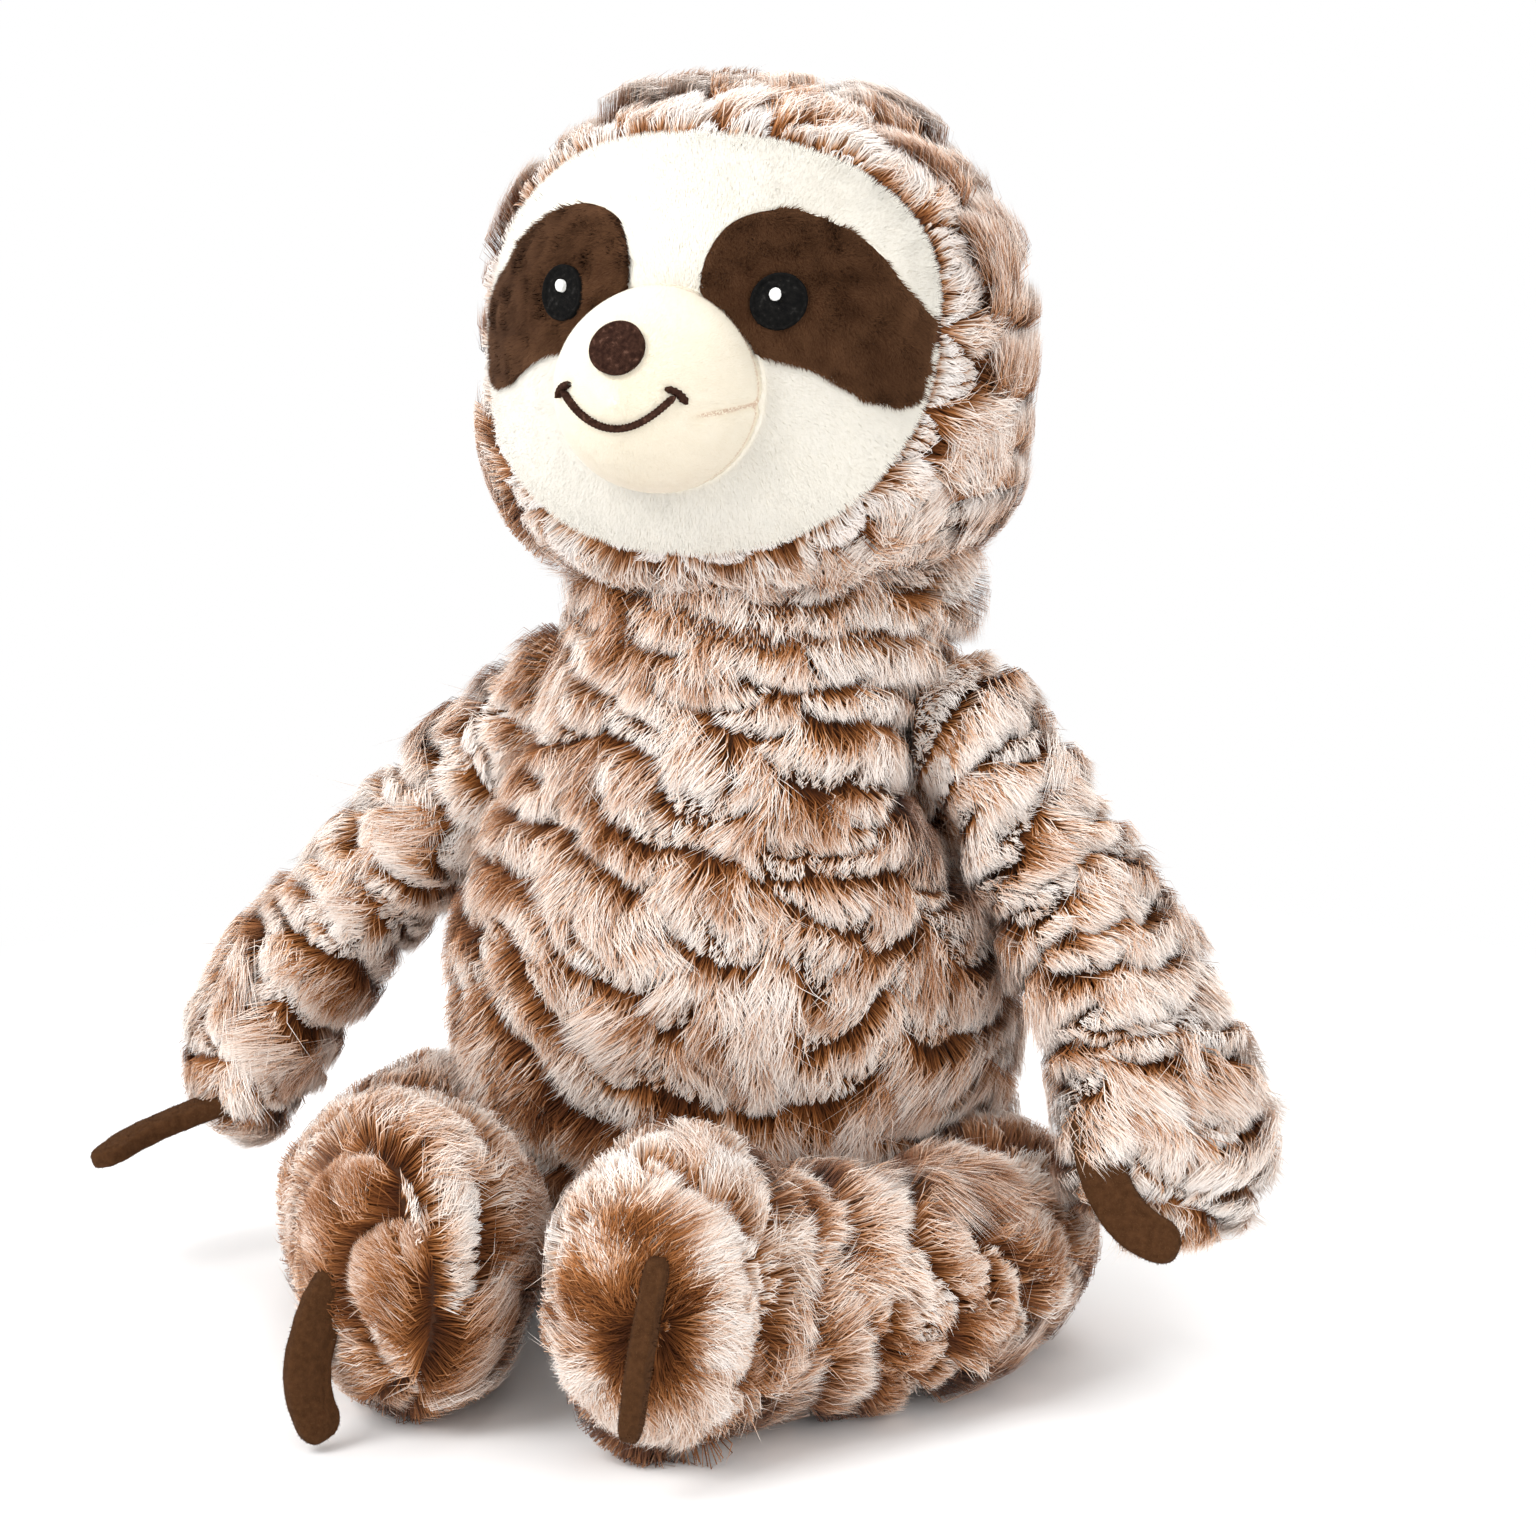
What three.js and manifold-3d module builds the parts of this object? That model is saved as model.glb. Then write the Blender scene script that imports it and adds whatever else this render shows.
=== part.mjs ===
// A sitting plush sloth: shag body, hood and limbs over separate fillings, a short-pile face,
// embroidered features and felt claws. Millimetres, +Z up, the toy looks along -Y, +X is its left.
// A stuffed form's own sizes are those of its backing cloth, and the pile stands proud of it.
import * as THREE from "three";
import { mergeVertices } from "three/addons/utils/BufferGeometryUtils.js";
import Module from "manifold-3d";

const wasm = await Module();
wasm.setup();

// Cloth, pile and clearances
const clothThickness = 1;
const shagPile = 5;
const shortPile = 2.5;
const velourPile = 1.2;
const threadThickness = 1;
const glintThickness = 0.5;
const gap = 0.35;
const fillingGap = 1.4;
const overrun = 60;
const baseCut = 0.5;

// Driving sizes of the body
const bodyHalfWidth = 69;
const bodyHalfDepth = 60;
const bellyForward = 16;
const seatRound = 30;
const collarRound = 10;

// Driving sizes of the neck, on which the head turns and nods
const neckPivotHeight = 158;
const neckPivotBack = 6;
const neckBallRadius = 55;
const neckClearance = 0.5;
const neckOpeningRadius = 30;
const neckPlugDepth = 24;
const openingDepth = 15;
const bodyHeight = neckPivotHeight + neckBallRadius;

// Driving sizes of the head
const headHalfWidth = 65.5;
const headHalfDepth = 56;
const headSeat = 16;
const headBelow = 72;
const headAbove = 52;
const headCentreHeight = neckPivotHeight + headSeat + headBelow;
const crownBack = 5;
const chinRound = 45;
const crownRound = 60;
const endSquareness = 2.2;

// Driving sizes of the face
const faceHalfWidth = 57;
const faceAbove = 47;
const faceBelow = 51;
const faceSquareness = 2.3;
const faceDepth = 12;
const patchHalfHeight = 22.8;
const patchInner = 9;
const patchOuter = 62;
const patchMiddle = 5.8;
const cheekLine = -2.5;
const muzzleHalfWidth = 25.5;
const muzzleHalfHeight = 24.8;
const muzzleHalfDepth = 32;
const muzzleBack = 49;
const muzzleDrop = 13;
const noseHalfWidth = 6.5;
const noseHalfHeight = 5.4;
const noseDrop = 1;
const smileHalfWidth = 15.5;
const smileSag = 7.5;
const smileDrop = 12;
const smileWidth = 1.5;
const tickLength = 5;
const eyeRadius = 6.8;
const eyeApart = 28;
const eyeLift = 8;
const glintRadius = 1.8;
const glintLift = 1.8;

// Driving sizes of an arm
const shoulderApart = 45;
const shoulderHeight = 147;
const shoulderBack = 2;
const shoulderRadius = 21;
const armReachLeft = 81;
const armReachRight = 90;
const armDrop = 102;
const armForward = 38;
const armHalfWidth = 29;
const armHalfThickness = 17;
const armTurn = 0.9;
const armRootRound = 12;
const handRound = 24;

// Driving sizes of a leg
const hipApart = 50;
const hipForward = 14;
const hipRadius = 30;
const legRootRound = 22;
const legOpeningRadius = 12;
const hipSpread = (16 * Math.PI) / 180;
const swingClearance = 3;
const kneeReach = 22;
const kneeForward = 12;
const footForward = 128;
const footApart = 32;
const legHalfWidth = 27;
const legHalfHeight = 27.5;
const footHalfHeight = 38;
const footRound = 20;

// Driving sizes of a claw
const clawHalfWidth = 5.6;
const clawHalfThickness = 2.8;
const clawLength = 42;
const clawSweep = 1.45;
const clawTipRound = 5.6;
const clawHookPower = 1.6;

// Driving sizes of the pellet pouch in the seat
const pouchHalfWidth = 20;
const pouchHalfDepth = 7;
const pouchHeight = 30;
const pouchLift = 27;
const pouchBack = 30;
const pouchRound = 7;

// Rows of the combed pile: ridges round the body and the hood, each with a steep and a long side
const pileRow = 16.5;
const pileRowDepth = 3.8;
const pileRowSteep = 0.25;
const pileRowEnds = [2, 8];

// Ring counts and side counts of the forms
const bodyMesh = { sides: 24, combed: -1 };
const headMesh = { sides: 30, combed: 1 };
const neckMesh = { rings: 18, sides: 36 };
const limbMesh = { rings: 14, sides: 18 };
const insideMesh = { rings: 10, sides: 16 };
const faceMesh = { rings: 20, sides: 35 };
const muzzleMesh = { rings: 12, sides: 22 };
const clawMesh = { rings: 10, sides: 8 };
const sweepMesh = { rings: 8, sides: 9 };
const sweepSamples = { rings: 60, sides: 40 };
const recessSides = 16;
const recessRings = 4;
const recessStep = 7;
const outlinePoints = 44;
const smallOutlinePoints = 16;
const linePoints = 10;
const tickPoints = 4;

// Tables of a form: how far along it, then its half width, half depth and forward shift,
// as shares of the form's own driving sizes
const bodyShares = [
  [0.0, 0.8, 0.8, 0.1],
  [0.1, 0.92, 0.93, 0.2],
  [0.22, 0.98, 0.99, 0.72],
  [0.37, 1.0, 1.0, 1.0],
  [0.5, 0.89, 0.92, 0.7],
  [0.62, 0.76, 0.82, 0.25],
  [0.75, 0.66, 0.73, -0.2],
  [0.86, 0.65, 0.71, -0.38],
  [1.0, 0.62, 0.7, -0.38],
];
const headShares = [
  [0.0, 1.0, 1.0, 0.0],
  [0.5, 1.0, 1.0, 0.0],
  [1.0, 0.96, 1.0, -1.0],
];
const pouchShares = [
  [0.0, 0.92, 0.92, -1.0],
  [0.5, 1.0, 1.0, -1.0],
  [1.0, 0.9, 0.9, -1.0],
];
const armShares = [
  [0.0, 0.6, 1.0],
  [0.2, 0.6, 0.98],
  [0.45, 0.7, 0.88],
  [0.7, 0.86, 0.96],
  [0.88, 1.0, 1.0],
  [1.0, 0.96, 0.92],
];
const legShares = [
  [0.0, 0.96, 0.685],
  [0.2, 0.98, 0.685],
  [0.45, 1.0, 0.685],
  [0.7, 1.0, 0.77],
  [0.88, 1.0, 1.0],
  [1.0, 0.98, 1.0],
];

// An arm's spine, as shares of its reach outwards, its drop and its reach forwards
const armSpineShares = [
  [0.0, 0.0, 0.0],
  [0.3, 0.18, 0.12],
  [0.66, 0.5, 0.4],
  [0.9, 0.8, 0.78],
  [1.0, 1.08, 1.0],
];

// How far a leg's spine follows its knee, its foot and its root at each spot, from the hip
const legSpineShares = { kneeCurve: 0.5, shinIn: 0.1, ankleOut: 0.22, ankleForward: 0.86, toeOut: 0.3 };

// An eye patch's outline from its inner end, as shares of its width and its half height
const patchShares = [
  [0.0, 0.28],
  [0.09, 0.84],
  [0.31, 1.0],
  [0.5, 0.87],
  [0.67, 0.62],
  [0.8, 0.22],
  [0.97, -0.36],
  [1.0, -0.66],
  [0.84, -0.97],
  [0.68, -0.88],
  [0.53, -0.63],
  [0.4, -0.5],
  [0.26, -0.44],
  [0.1, -0.2],
];

// Where each claw is sewn: its place along the limb and its seat beside the middle line, as
// shares of the limb's half width there, then the directions in which it leaves and bends.
// Each direction and seat is given outwards, forwards and upwards.
const clawShares = {
  left_hand: {
    place: 0.8, seat: [-0.5, 0.94, 0.1], leave: [0.24, 0.42, -0.9], bend: [0.9, -0.2, 0.2],
  },
  right_hand: {
    place: 1, seat: [-0.45, 0.48, 0.3], leave: [0.88, 0.4, -0.32], bend: [-0.2, 1, -0.1],
  },
  left_foot: {
    place: 1, seat: [0.05, -0.1, 0.72], leave: [0.1, 0.7, -0.7], bend: [-0.25, -0.5, -0.8],
  },
  right_foot: {
    place: 1, seat: [0.22, -0.15, 0.2], leave: [0.3, 0.6, -0.8], bend: [-0.4, -0.3, -0.85],
  },
};

const finishes = {
  shag: { color: 0xc9a58c, roughness: 0.95, metalness: 0 },
  cream: { color: 0xf3ecdc, roughness: 0.95, metalness: 0 },
  velour: { color: 0xf1e4cd, roughness: 0.9, metalness: 0 },
  brown: { color: 0x3f2314, roughness: 0.95, metalness: 0 },
  felt: { color: 0x4f301c, roughness: 1, metalness: 0 },
  darkThread: { color: 0x2c1811, roughness: 0.6, metalness: 0 },
  blackThread: { color: 0x08080b, roughness: 0.5, metalness: 0 },
  whiteThread: { color: 0xf4f4f0, roughness: 0.5, metalness: 0 },
  filling: { color: 0xf7f7f5, roughness: 1, metalness: 0 },
  pouchCloth: { color: 0xd9d4c8, roughness: 0.9, metalness: 0 },
};

// The value in a column of a table at a place between its rows, on a smooth curve
function valueAt(rows, place, column) {
  const last = rows.length - 1;
  let row = 0;
  while (row < last - 1 && place > rows[row + 1][0]) {
    row += 1;
  }
  const slope = (index) => {
    const before = rows[Math.max(index - 1, 0)];
    const after = rows[Math.min(index + 1, last)];
    return (after[column] - before[column]) / (after[0] - before[0]);
  };
  const [start, end] = [rows[row], rows[row + 1]];
  const width = end[0] - start[0];
  const share = Math.min(Math.max((place - start[0]) / width, 0), 1);
  const square = share * share;
  const cube = square * share;
  return (
    (2 * cube - 3 * square + 1) * start[column] +
    (cube - 2 * square + share) * width * slope(row) +
    (3 * square - 2 * cube) * end[column] +
    (cube - square) * width * slope(row + 1)
  );
}

// How full a rounded end is at a distance from its tip
function endFullness(distance, round) {
  const missing = 1 - Math.min(Math.max(distance / round, 0), 1);
  return (1 - missing ** endSquareness) ** (1 / endSquareness);
}

// Where the rings of a plain form lie over its whole length, closer together at the ends
function evenPlaces(whole, { rings }) {
  const places = [];
  for (let ring = 0; ring <= rings; ring += 1) {
    places.push([(whole * (1 - Math.cos((Math.PI * ring) / rings))) / 2, 0]);
  }
  return places;
}

// Where the rings of a form with rows of pile lie, and how far each is sunk: a valley and a
// ridge for each row, with the row's steep side towards the way in which the pile is combed
function rowedPlaces(whole, { combed }) {
  const count = Math.round(whole / pileRow);
  const row = whole / count;
  const ridge = combed > 0 ? 1 - pileRowSteep : pileRowSteep;
  const places = [0, ...pileRowEnds].map((place) => [place, 0]);
  for (let valley = 1; valley < count; valley += 1) {
    places.push([valley * row, pileRowDepth]);
    if (valley < count - 1) {
      places.push([(valley + ridge) * row, 0]);
    }
  }
  const ends = [0, ...pileRowEnds].map((place) => [whole - place, 0]);
  return [...places, ...ends.reverse()];
}

// A stuffed form: rings round a spine that close in a point at both ends.
// proud moves its whole surface outwards, past the ends too.
function stuffedForm(form, proud, mesh) {
  const { spine, sizeAt, ahead, startRound, endRound } = form;
  const { sides } = mesh;
  const length = spine.getLength();
  const whole = length + 2 * proud;
  const places = mesh.combed ? rowedPlaces(whole, mesh) : evenPlaces(whole, mesh);
  const rings = places.length - 1;
  const positions = [];
  places.forEach(([reached, sunk], ring) => {
    const along = reached - proud;
    const place = Math.min(Math.max(along / length, 0), 1);
    const centre = spine.getPointAt(place);
    const tangent = spine.getTangentAt(place);
    centre.addScaledVector(tangent, along - place * length);
    const side = new THREE.Vector3().crossVectors(ahead, tangent).normalize();
    const front = new THREE.Vector3().crossVectors(tangent, side);
    const full =
      endFullness(along + proud, startRound + proud) *
      endFullness(whole - along - proud, endRound + proud);
    const [halfWidth, halfDepth] = sizeAt(place);
    const count = ring === 0 || ring === rings ? 1 : sides;
    for (let step = 0; step < count; step += 1) {
      const angle = (2 * Math.PI * step) / sides;
      const point = centre.clone();
      point.addScaledVector(side, Math.cos(angle) * ((halfWidth + proud) * full - sunk));
      point.addScaledVector(front, Math.sin(angle) * ((halfDepth + proud) * full - sunk));
      positions.push(point.x, point.y, point.z);
    }
  });
  return ringedGeometry(positions, rings, sides);
}

// The closed surface of a point, rings of equal count and a last point
function ringedGeometry(positions, rings, sides) {
  const indices = [];
  const end = positions.length / 3 - 1;
  for (let step = 0; step < sides; step += 1) {
    const next = (step + 1) % sides;
    indices.push(0, 1 + next, 1 + step);
    for (let ring = 0; ring < rings - 2; ring += 1) {
      const low = 1 + ring * sides;
      const high = low + sides;
      indices.push(low + step, low + next, high + next);
      indices.push(low + step, high + next, high + step);
    }
    const top = end - sides;
    indices.push(top + step, top + next, end);
  }
  const geometry = new THREE.BufferGeometry();
  geometry.setAttribute("position", new THREE.Float32BufferAttribute(positions, 3));
  geometry.setIndex(indices);
  return geometry;
}

// A solid that can be cut and joined, from a closed geometry
function solid(geometry) {
  const bare = geometry.clone();
  bare.deleteAttribute("normal");
  bare.deleteAttribute("uv");
  const merged = mergeVertices(bare);
  return new wasm.Manifold(
    new wasm.Mesh({
      numProp: 3,
      vertProperties: new Float32Array(merged.attributes.position.array),
      triVerts: new Uint32Array(merged.index.array),
    }),
  );
}

// The geometry of a finished solid
function geometryOf(body) {
  const mesh = body.getMesh();
  const geometry = new THREE.BufferGeometry();
  geometry.setAttribute("position", new THREE.BufferAttribute(mesh.vertProperties, 3));
  geometry.setIndex(new THREE.BufferAttribute(mesh.triVerts, 1));
  geometry.computeVertexNormals();
  return geometry;
}

// A stuffed form as a solid
function padded(form, proud, mesh) {
  return solid(stuffedForm(form, proud, mesh));
}

// A box between two heights, wide enough to cut anything
function slab(low, high) {
  const wide = bodyHeight + headHalfWidth + footForward + overrun;
  const box = new THREE.BoxGeometry(wide, wide, high - low);
  return solid(box.translate(0, 0, (low + high) / 2));
}

// A ball round the neck's pivot
function neckBall(radius, { rings, sides } = neckMesh) {
  const ball = new THREE.SphereGeometry(radius, sides, rings);
  return solid(ball.rotateX(Math.PI / 2).translate(0, neckPivotBack, neckPivotHeight));
}

// An upright round bar on the neck's axis, between two heights
function neckBar(radius, low, high) {
  const bar = new THREE.CylinderGeometry(radius, radius, high - low, bodyMesh.sides);
  return solid(bar.rotateX(Math.PI / 2).translate(0, neckPivotBack, (low + high) / 2));
}

// A prism of a front-view outline, from well before the face back to a plane this far forward.
// Its points are measured from the head's centre.
function facePrism(points, forward = faceDepth) {
  const shape = new THREE.Shape(points.map(([x, z]) => new THREE.Vector2(x, z)));
  const depth = overrun + headHalfDepth;
  const prism = new THREE.ExtrudeGeometry(shape, { depth, bevelEnabled: false, steps: 1 });
  prism.rotateX(Math.PI / 2);
  return solid(prism.translate(0, -forward, headCentreHeight));
}

// Points of a closed smooth curve through chosen corners
function smoothOutline(corners, count) {
  const spots = corners.map(([x, z]) => new THREE.Vector3(x, z, 0));
  const curve = new THREE.CatmullRomCurve3(spots, true, "centripetal");
  return curve.getSpacedPoints(count).slice(0, count).map((spot) => [spot.x, spot.y]);
}

// Points of an oval about a centre, with a squareness above 2 for fuller corners
function ovalOutline([x, z], halfWidth, above, below, squareness, count) {
  const points = [];
  for (let step = 0; step < count; step += 1) {
    const angle = (2 * Math.PI * step) / count;
    const [cosine, sine] = [Math.cos(angle), Math.sin(angle)];
    const across = Math.sign(cosine) * Math.abs(cosine) ** (2 / squareness);
    const along = Math.sign(sine) * Math.abs(sine) ** (2 / squareness);
    points.push([x + across * halfWidth, z + along * (sine > 0 ? above : below)]);
  }
  return points;
}

// Points of a band of even width that follows a line of points, rounded at neither end
function bandOutline(line, width) {
  const offsetPoint = (index, distance) => {
    const before = line[Math.max(index - 1, 0)];
    const after = line[Math.min(index + 1, line.length - 1)];
    const [dx, dz] = [after[0] - before[0], after[1] - before[1]];
    const scale = distance / Math.hypot(dx, dz);
    return [line[index][0] - dz * scale, line[index][1] + dx * scale];
  };
  const right = line.map((_, index) => offsetPoint(index, -width / 2));
  const left = line.map((_, index) => offsetPoint(index, width / 2));
  return [...right, ...left.reverse()];
}

// An outline moved outwards by a distance, for points that run anticlockwise
function grown(points, distance) {
  const count = points.length;
  return points.map(([x, z], index) => {
    const before = points[(index + count - 1) % count];
    const after = points[(index + 1) % count];
    const [dx, dz] = [after[0] - before[0], after[1] - before[1]];
    const scale = distance / Math.hypot(dx, dz);
    return [x + dz * scale, z - dx * scale];
  });
}

// A form that stands upright, with its rings shifted forwards by its table
function uprightForm(rows, low, high, halfWidth, halfDepth, forward, startRound, endRound) {
  const spots = rows.map(
    ([place, , , shift]) => new THREE.Vector3(0, -shift * forward, low + place * (high - low)),
  );
  return {
    spine: new THREE.CatmullRomCurve3(spots),
    sizeAt: (place) => [
      valueAt(rows, place, 1) * halfWidth,
      valueAt(rows, place, 2) * halfDepth,
    ],
    ahead: new THREE.Vector3(0, 1, 0),
    startRound,
    endRound,
  };
}

const bodyForm = uprightForm(
  bodyShares,
  shagPile - baseCut,
  bodyHeight + shagPile,
  bodyHalfWidth,
  bodyHalfDepth,
  bellyForward,
  seatRound,
  collarRound,
);

const headForm = uprightForm(
  headShares,
  headCentreHeight - headBelow,
  headCentreHeight + headAbove,
  headHalfWidth,
  headHalfDepth,
  crownBack,
  chinRound,
  crownRound,
);

const pouchForm = uprightForm(
  pouchShares,
  shagPile + pouchLift,
  shagPile + pouchLift + pouchHeight,
  pouchHalfWidth,
  pouchHalfDepth,
  pouchBack,
  pouchRound,
  pouchRound,
);

// An arm hangs out and forwards from the shoulder, its flat side turned to the front
function armForm(side) {
  const armReach = side > 0 ? armReachLeft : armReachRight;
  const spots = armSpineShares.map(
    ([out, drop, ahead]) =>
      new THREE.Vector3(
        side * (shoulderApart + out * armReach),
        shoulderBack - ahead * armForward,
        shoulderHeight - drop * armDrop,
      ),
  );
  const rootApart = side * (shoulderApart - armRootRound);
  spots.unshift(new THREE.Vector3(rootApart, shoulderBack, shoulderHeight));
  return {
    spine: new THREE.CatmullRomCurve3(spots),
    sizeAt: (place) => [
      valueAt(armShares, place, 1) * (armHalfWidth - shagPile),
      valueAt(armShares, place, 2) * (armHalfThickness - shagPile),
    ],
    ahead: new THREE.Vector3(side * Math.sin(armTurn), -Math.cos(armTurn), 0),
    startRound: armRootRound,
    endRound: handRound,
  };
}

// A leg runs out to the knee and back in to a sole that looks forwards and a little outwards
function legForm(side) {
  const { kneeCurve, shinIn, ankleOut, ankleForward, toeOut } = legSpineShares;
  const legHeight = legHalfHeight - baseCut;
  const soleHeight = footHalfHeight - baseCut;
  const kneeApart = hipApart + kneeReach;
  const shinForward = (kneeForward + footForward) / 2;
  const spots = [
    [hipApart - hipRadius + shagPile + gap, hipForward, legHeight],
    [hipApart, hipForward, legHeight],
    [kneeApart, kneeForward + legHalfWidth * kneeCurve, legHeight],
    [kneeApart - kneeReach * shinIn, shinForward, legHeight],
    [footApart + kneeReach * ankleOut, footForward * ankleForward, (legHeight + soleHeight) / 2],
    [footApart, footForward, soleHeight],
    [footApart + footRound * toeOut, footForward + footRound, soleHeight],
  ].map(([out, ahead, height]) => new THREE.Vector3(side * out, -ahead, height));
  return {
    spine: new THREE.CatmullRomCurve3(spots),
    sizeAt: (place) => [
      valueAt(legShares, place, 1) * (legHalfWidth - shagPile),
      valueAt(legShares, place, 2) * (footHalfHeight - shagPile),
    ],
    ahead: new THREE.Vector3(0, 0, -1),
    startRound: legRootRound,
    endRound: footRound,
  };
}

// The muzzle's dome, proud of its backing cloth
function muzzleDome(proud) {
  const dome = new THREE.SphereGeometry(1, muzzleMesh.sides, muzzleMesh.rings);
  dome.rotateX(Math.PI / 2);
  dome.scale(muzzleHalfWidth + proud, muzzleHalfDepth + proud, muzzleHalfHeight + proud);
  return solid(dome.translate(0, -muzzleBack, headCentreHeight - muzzleDrop));
}

// A layer between two distances from the backing cloth of the head
function faceLayer(inner, outer) {
  return padded(headForm, outer, faceMesh).subtract(padded(headForm, inner, faceMesh));
}

// A layer between two distances from the backing cloth of the muzzle
function muzzleLayer(inner, outer) {
  return muzzleDome(outer).subtract(muzzleDome(inner));
}

const sides = [
  ["left", 1],
  ["right", -1],
];
const belowGround = slab(-overrun, 0);
const insideCloth = -clothThickness;
const insideGap = -clothThickness - fillingGap;
const neckHollow = neckBall(neckBallRadius + neckClearance);
const neckPlugLow = bodyHeight - neckPlugDepth;

// Keeps what lies in a ball round the neck's pivot, or below the pivot
function underNeckBall(body, radius, mesh) {
  const below = slab(-overrun, neckPivotHeight);
  return body.intersect(neckBall(radius, mesh).add(below));
}

// How near an arm's skin comes to the middle of the body, at distances from the shoulder's axis
function armInnerReach(side, radii) {
  const spots = stuffedForm(armForm(side), shagPile, sweepSamples).attributes.position;
  const reaches = radii.map(() => Infinity);
  for (let index = 0; index < spots.count; index += 1) {
    const across = side * spots.getX(index);
    const back = spots.getY(index) - shoulderBack;
    const away = Math.hypot(back, spots.getZ(index) - shoulderHeight);
    radii.forEach((radius, ring) => {
      if (Math.abs(away - radius) <= recessStep) {
        reaches[ring] = Math.min(reaches[ring], across);
      }
    });
  }
  return reaches;
}

// The round dish in the body's flank in which an arm is sewn on and swings
function shoulderRecess(side, skin) {
  const radii = [];
  for (let ring = 0; ring <= recessRings; ring += 1) {
    radii.push(shoulderRadius + ring * recessStep);
  }
  const floor = armInnerReach(side, radii).map((reach) => reach - swingClearance - skin);
  const seam = shoulderApart - skin;
  const outer = shoulderApart + overrun;
  const profile = [new THREE.Vector2(0, seam), new THREE.Vector2(shoulderRadius, seam)];
  radii.forEach((radius, ring) => {
    profile.push(new THREE.Vector2(radius + gap + skin, Math.max(floor[ring], seam)));
  });
  const last = radii[recessRings] + gap + skin;
  profile.push(new THREE.Vector2(last, outer), new THREE.Vector2(0, outer));
  const dish = new THREE.LatheGeometry(profile, recessSides);
  dish.rotateZ(-Math.PI / 2);
  if (side < 0) {
    dish.rotateY(Math.PI);
  }
  return solid(dish.translate(0, shoulderBack, shoulderHeight));
}

// What the limbs of both sides take from the body, deeper by a skin's thickness
function limbRecesses(skin) {
  let recesses = null;
  for (const [, side] of sides) {
    const hip = hipRecess(side, skin).add(legSweep(side, swingClearance + skin));
    const both = hip.add(shoulderRecess(side, skin));
    recesses = recesses ? recesses.add(both) : both;
  }
  return recesses;
}

// Everything on the outer side of a shoulder's seam
function outsideShoulder(side, clear) {
  const wide = armReachLeft + armReachRight + overrun;
  const box = new THREE.BoxGeometry(wide, wide, wide + armDrop);
  return solid(box.translate(side * (shoulderApart + clear + wide / 2), 0, shoulderHeight));
}

// The upright round recess under the body where a leg is sewn on
function hipRecess(side, skin) {
  const high = legHalfHeight * 2 + gap + skin;
  const radius = hipRadius + gap + skin;
  const post = new THREE.CylinderGeometry(radius, radius, high + overrun, recessSides);
  post.rotateX(Math.PI / 2);
  return solid(post.translate(side * hipApart, -hipForward, (high - overrun) / 2));
}

// The space that a leg sweeps as it spreads on its hip, with a clearance round it
function legSweep(side, clear) {
  const leg = stuffedForm(legForm(side), shagPile + clear, sweepMesh);
  leg.translate(-side * hipApart, hipForward, 0);
  let sweep = null;
  for (const share of [0, 0.5, 1]) {
    const turned = leg.clone().rotateZ(side * share * hipSpread);
    const body = solid(turned.translate(side * hipApart, -hipForward, 0));
    sweep = sweep ? sweep.add(body) : body;
  }
  return sweep;
}

// The spot inside a limb's skin where a claw is sewn, beside the limb's middle line
function clawRoot(side, form, { place, seat }) {
  const [halfWidth] = form.sizeAt(place);
  const [out, forward, up] = seat;
  const root = form.spine.getPointAt(place);
  return root.add(new THREE.Vector3(side * out, -forward, up).multiplyScalar(halfWidth));
}

// A claw's solid, proud by a clearance: a flat crescent that leaves the limb and bends
function clawSolid(name, side, form, proud) {
  const { leave, bend } = clawShares[name];
  const vector = ([out, forward, up]) => new THREE.Vector3(side * out, -forward, up).normalize();
  const start = vector(leave);
  const toBend = vector(bend);
  const flat = new THREE.Vector3().crossVectors(start, toBend).normalize();
  toBend.crossVectors(flat, start).normalize();
  const root = clawRoot(side, form, clawShares[name]);
  const spots = [root];
  const stride = clawLength / clawMesh.rings;
  for (let step = 0; step < clawMesh.rings; step += 1) {
    const angle = clawSweep * (step / clawMesh.rings) ** clawHookPower;
    const spot = spots[step].clone().addScaledVector(start, stride * Math.cos(angle));
    spots.push(spot.addScaledVector(toBend, stride * Math.sin(angle)));
  }
  const claw = {
    spine: new THREE.CatmullRomCurve3(spots),
    sizeAt: () => [clawHalfWidth, clawHalfThickness],
    ahead: flat,
    startRound: clawTipRound,
    endRound: clawTipRound,
  };
  return padded(claw, proud, clawMesh);
}

// The pocket in the filling that holds the pellet pouch, open down to the cloth of the seat
function pouchPocket() {
  const middle = shagPile + pouchLift + pouchHeight / 2;
  const mouth = new THREE.BoxGeometry(pouchHalfWidth, pouchHalfDepth, middle);
  const shaft = solid(mouth.translate(0, pouchBack, middle / 2));
  return padded(pouchForm, gap, insideMesh).add(shaft);
}

const object = new THREE.Group();

function add(name, body, finish) {
  const mesh = new THREE.Mesh(geometryOf(body), new THREE.MeshStandardMaterial(finish));
  mesh.name = name;
  object.add(mesh);
}

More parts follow.
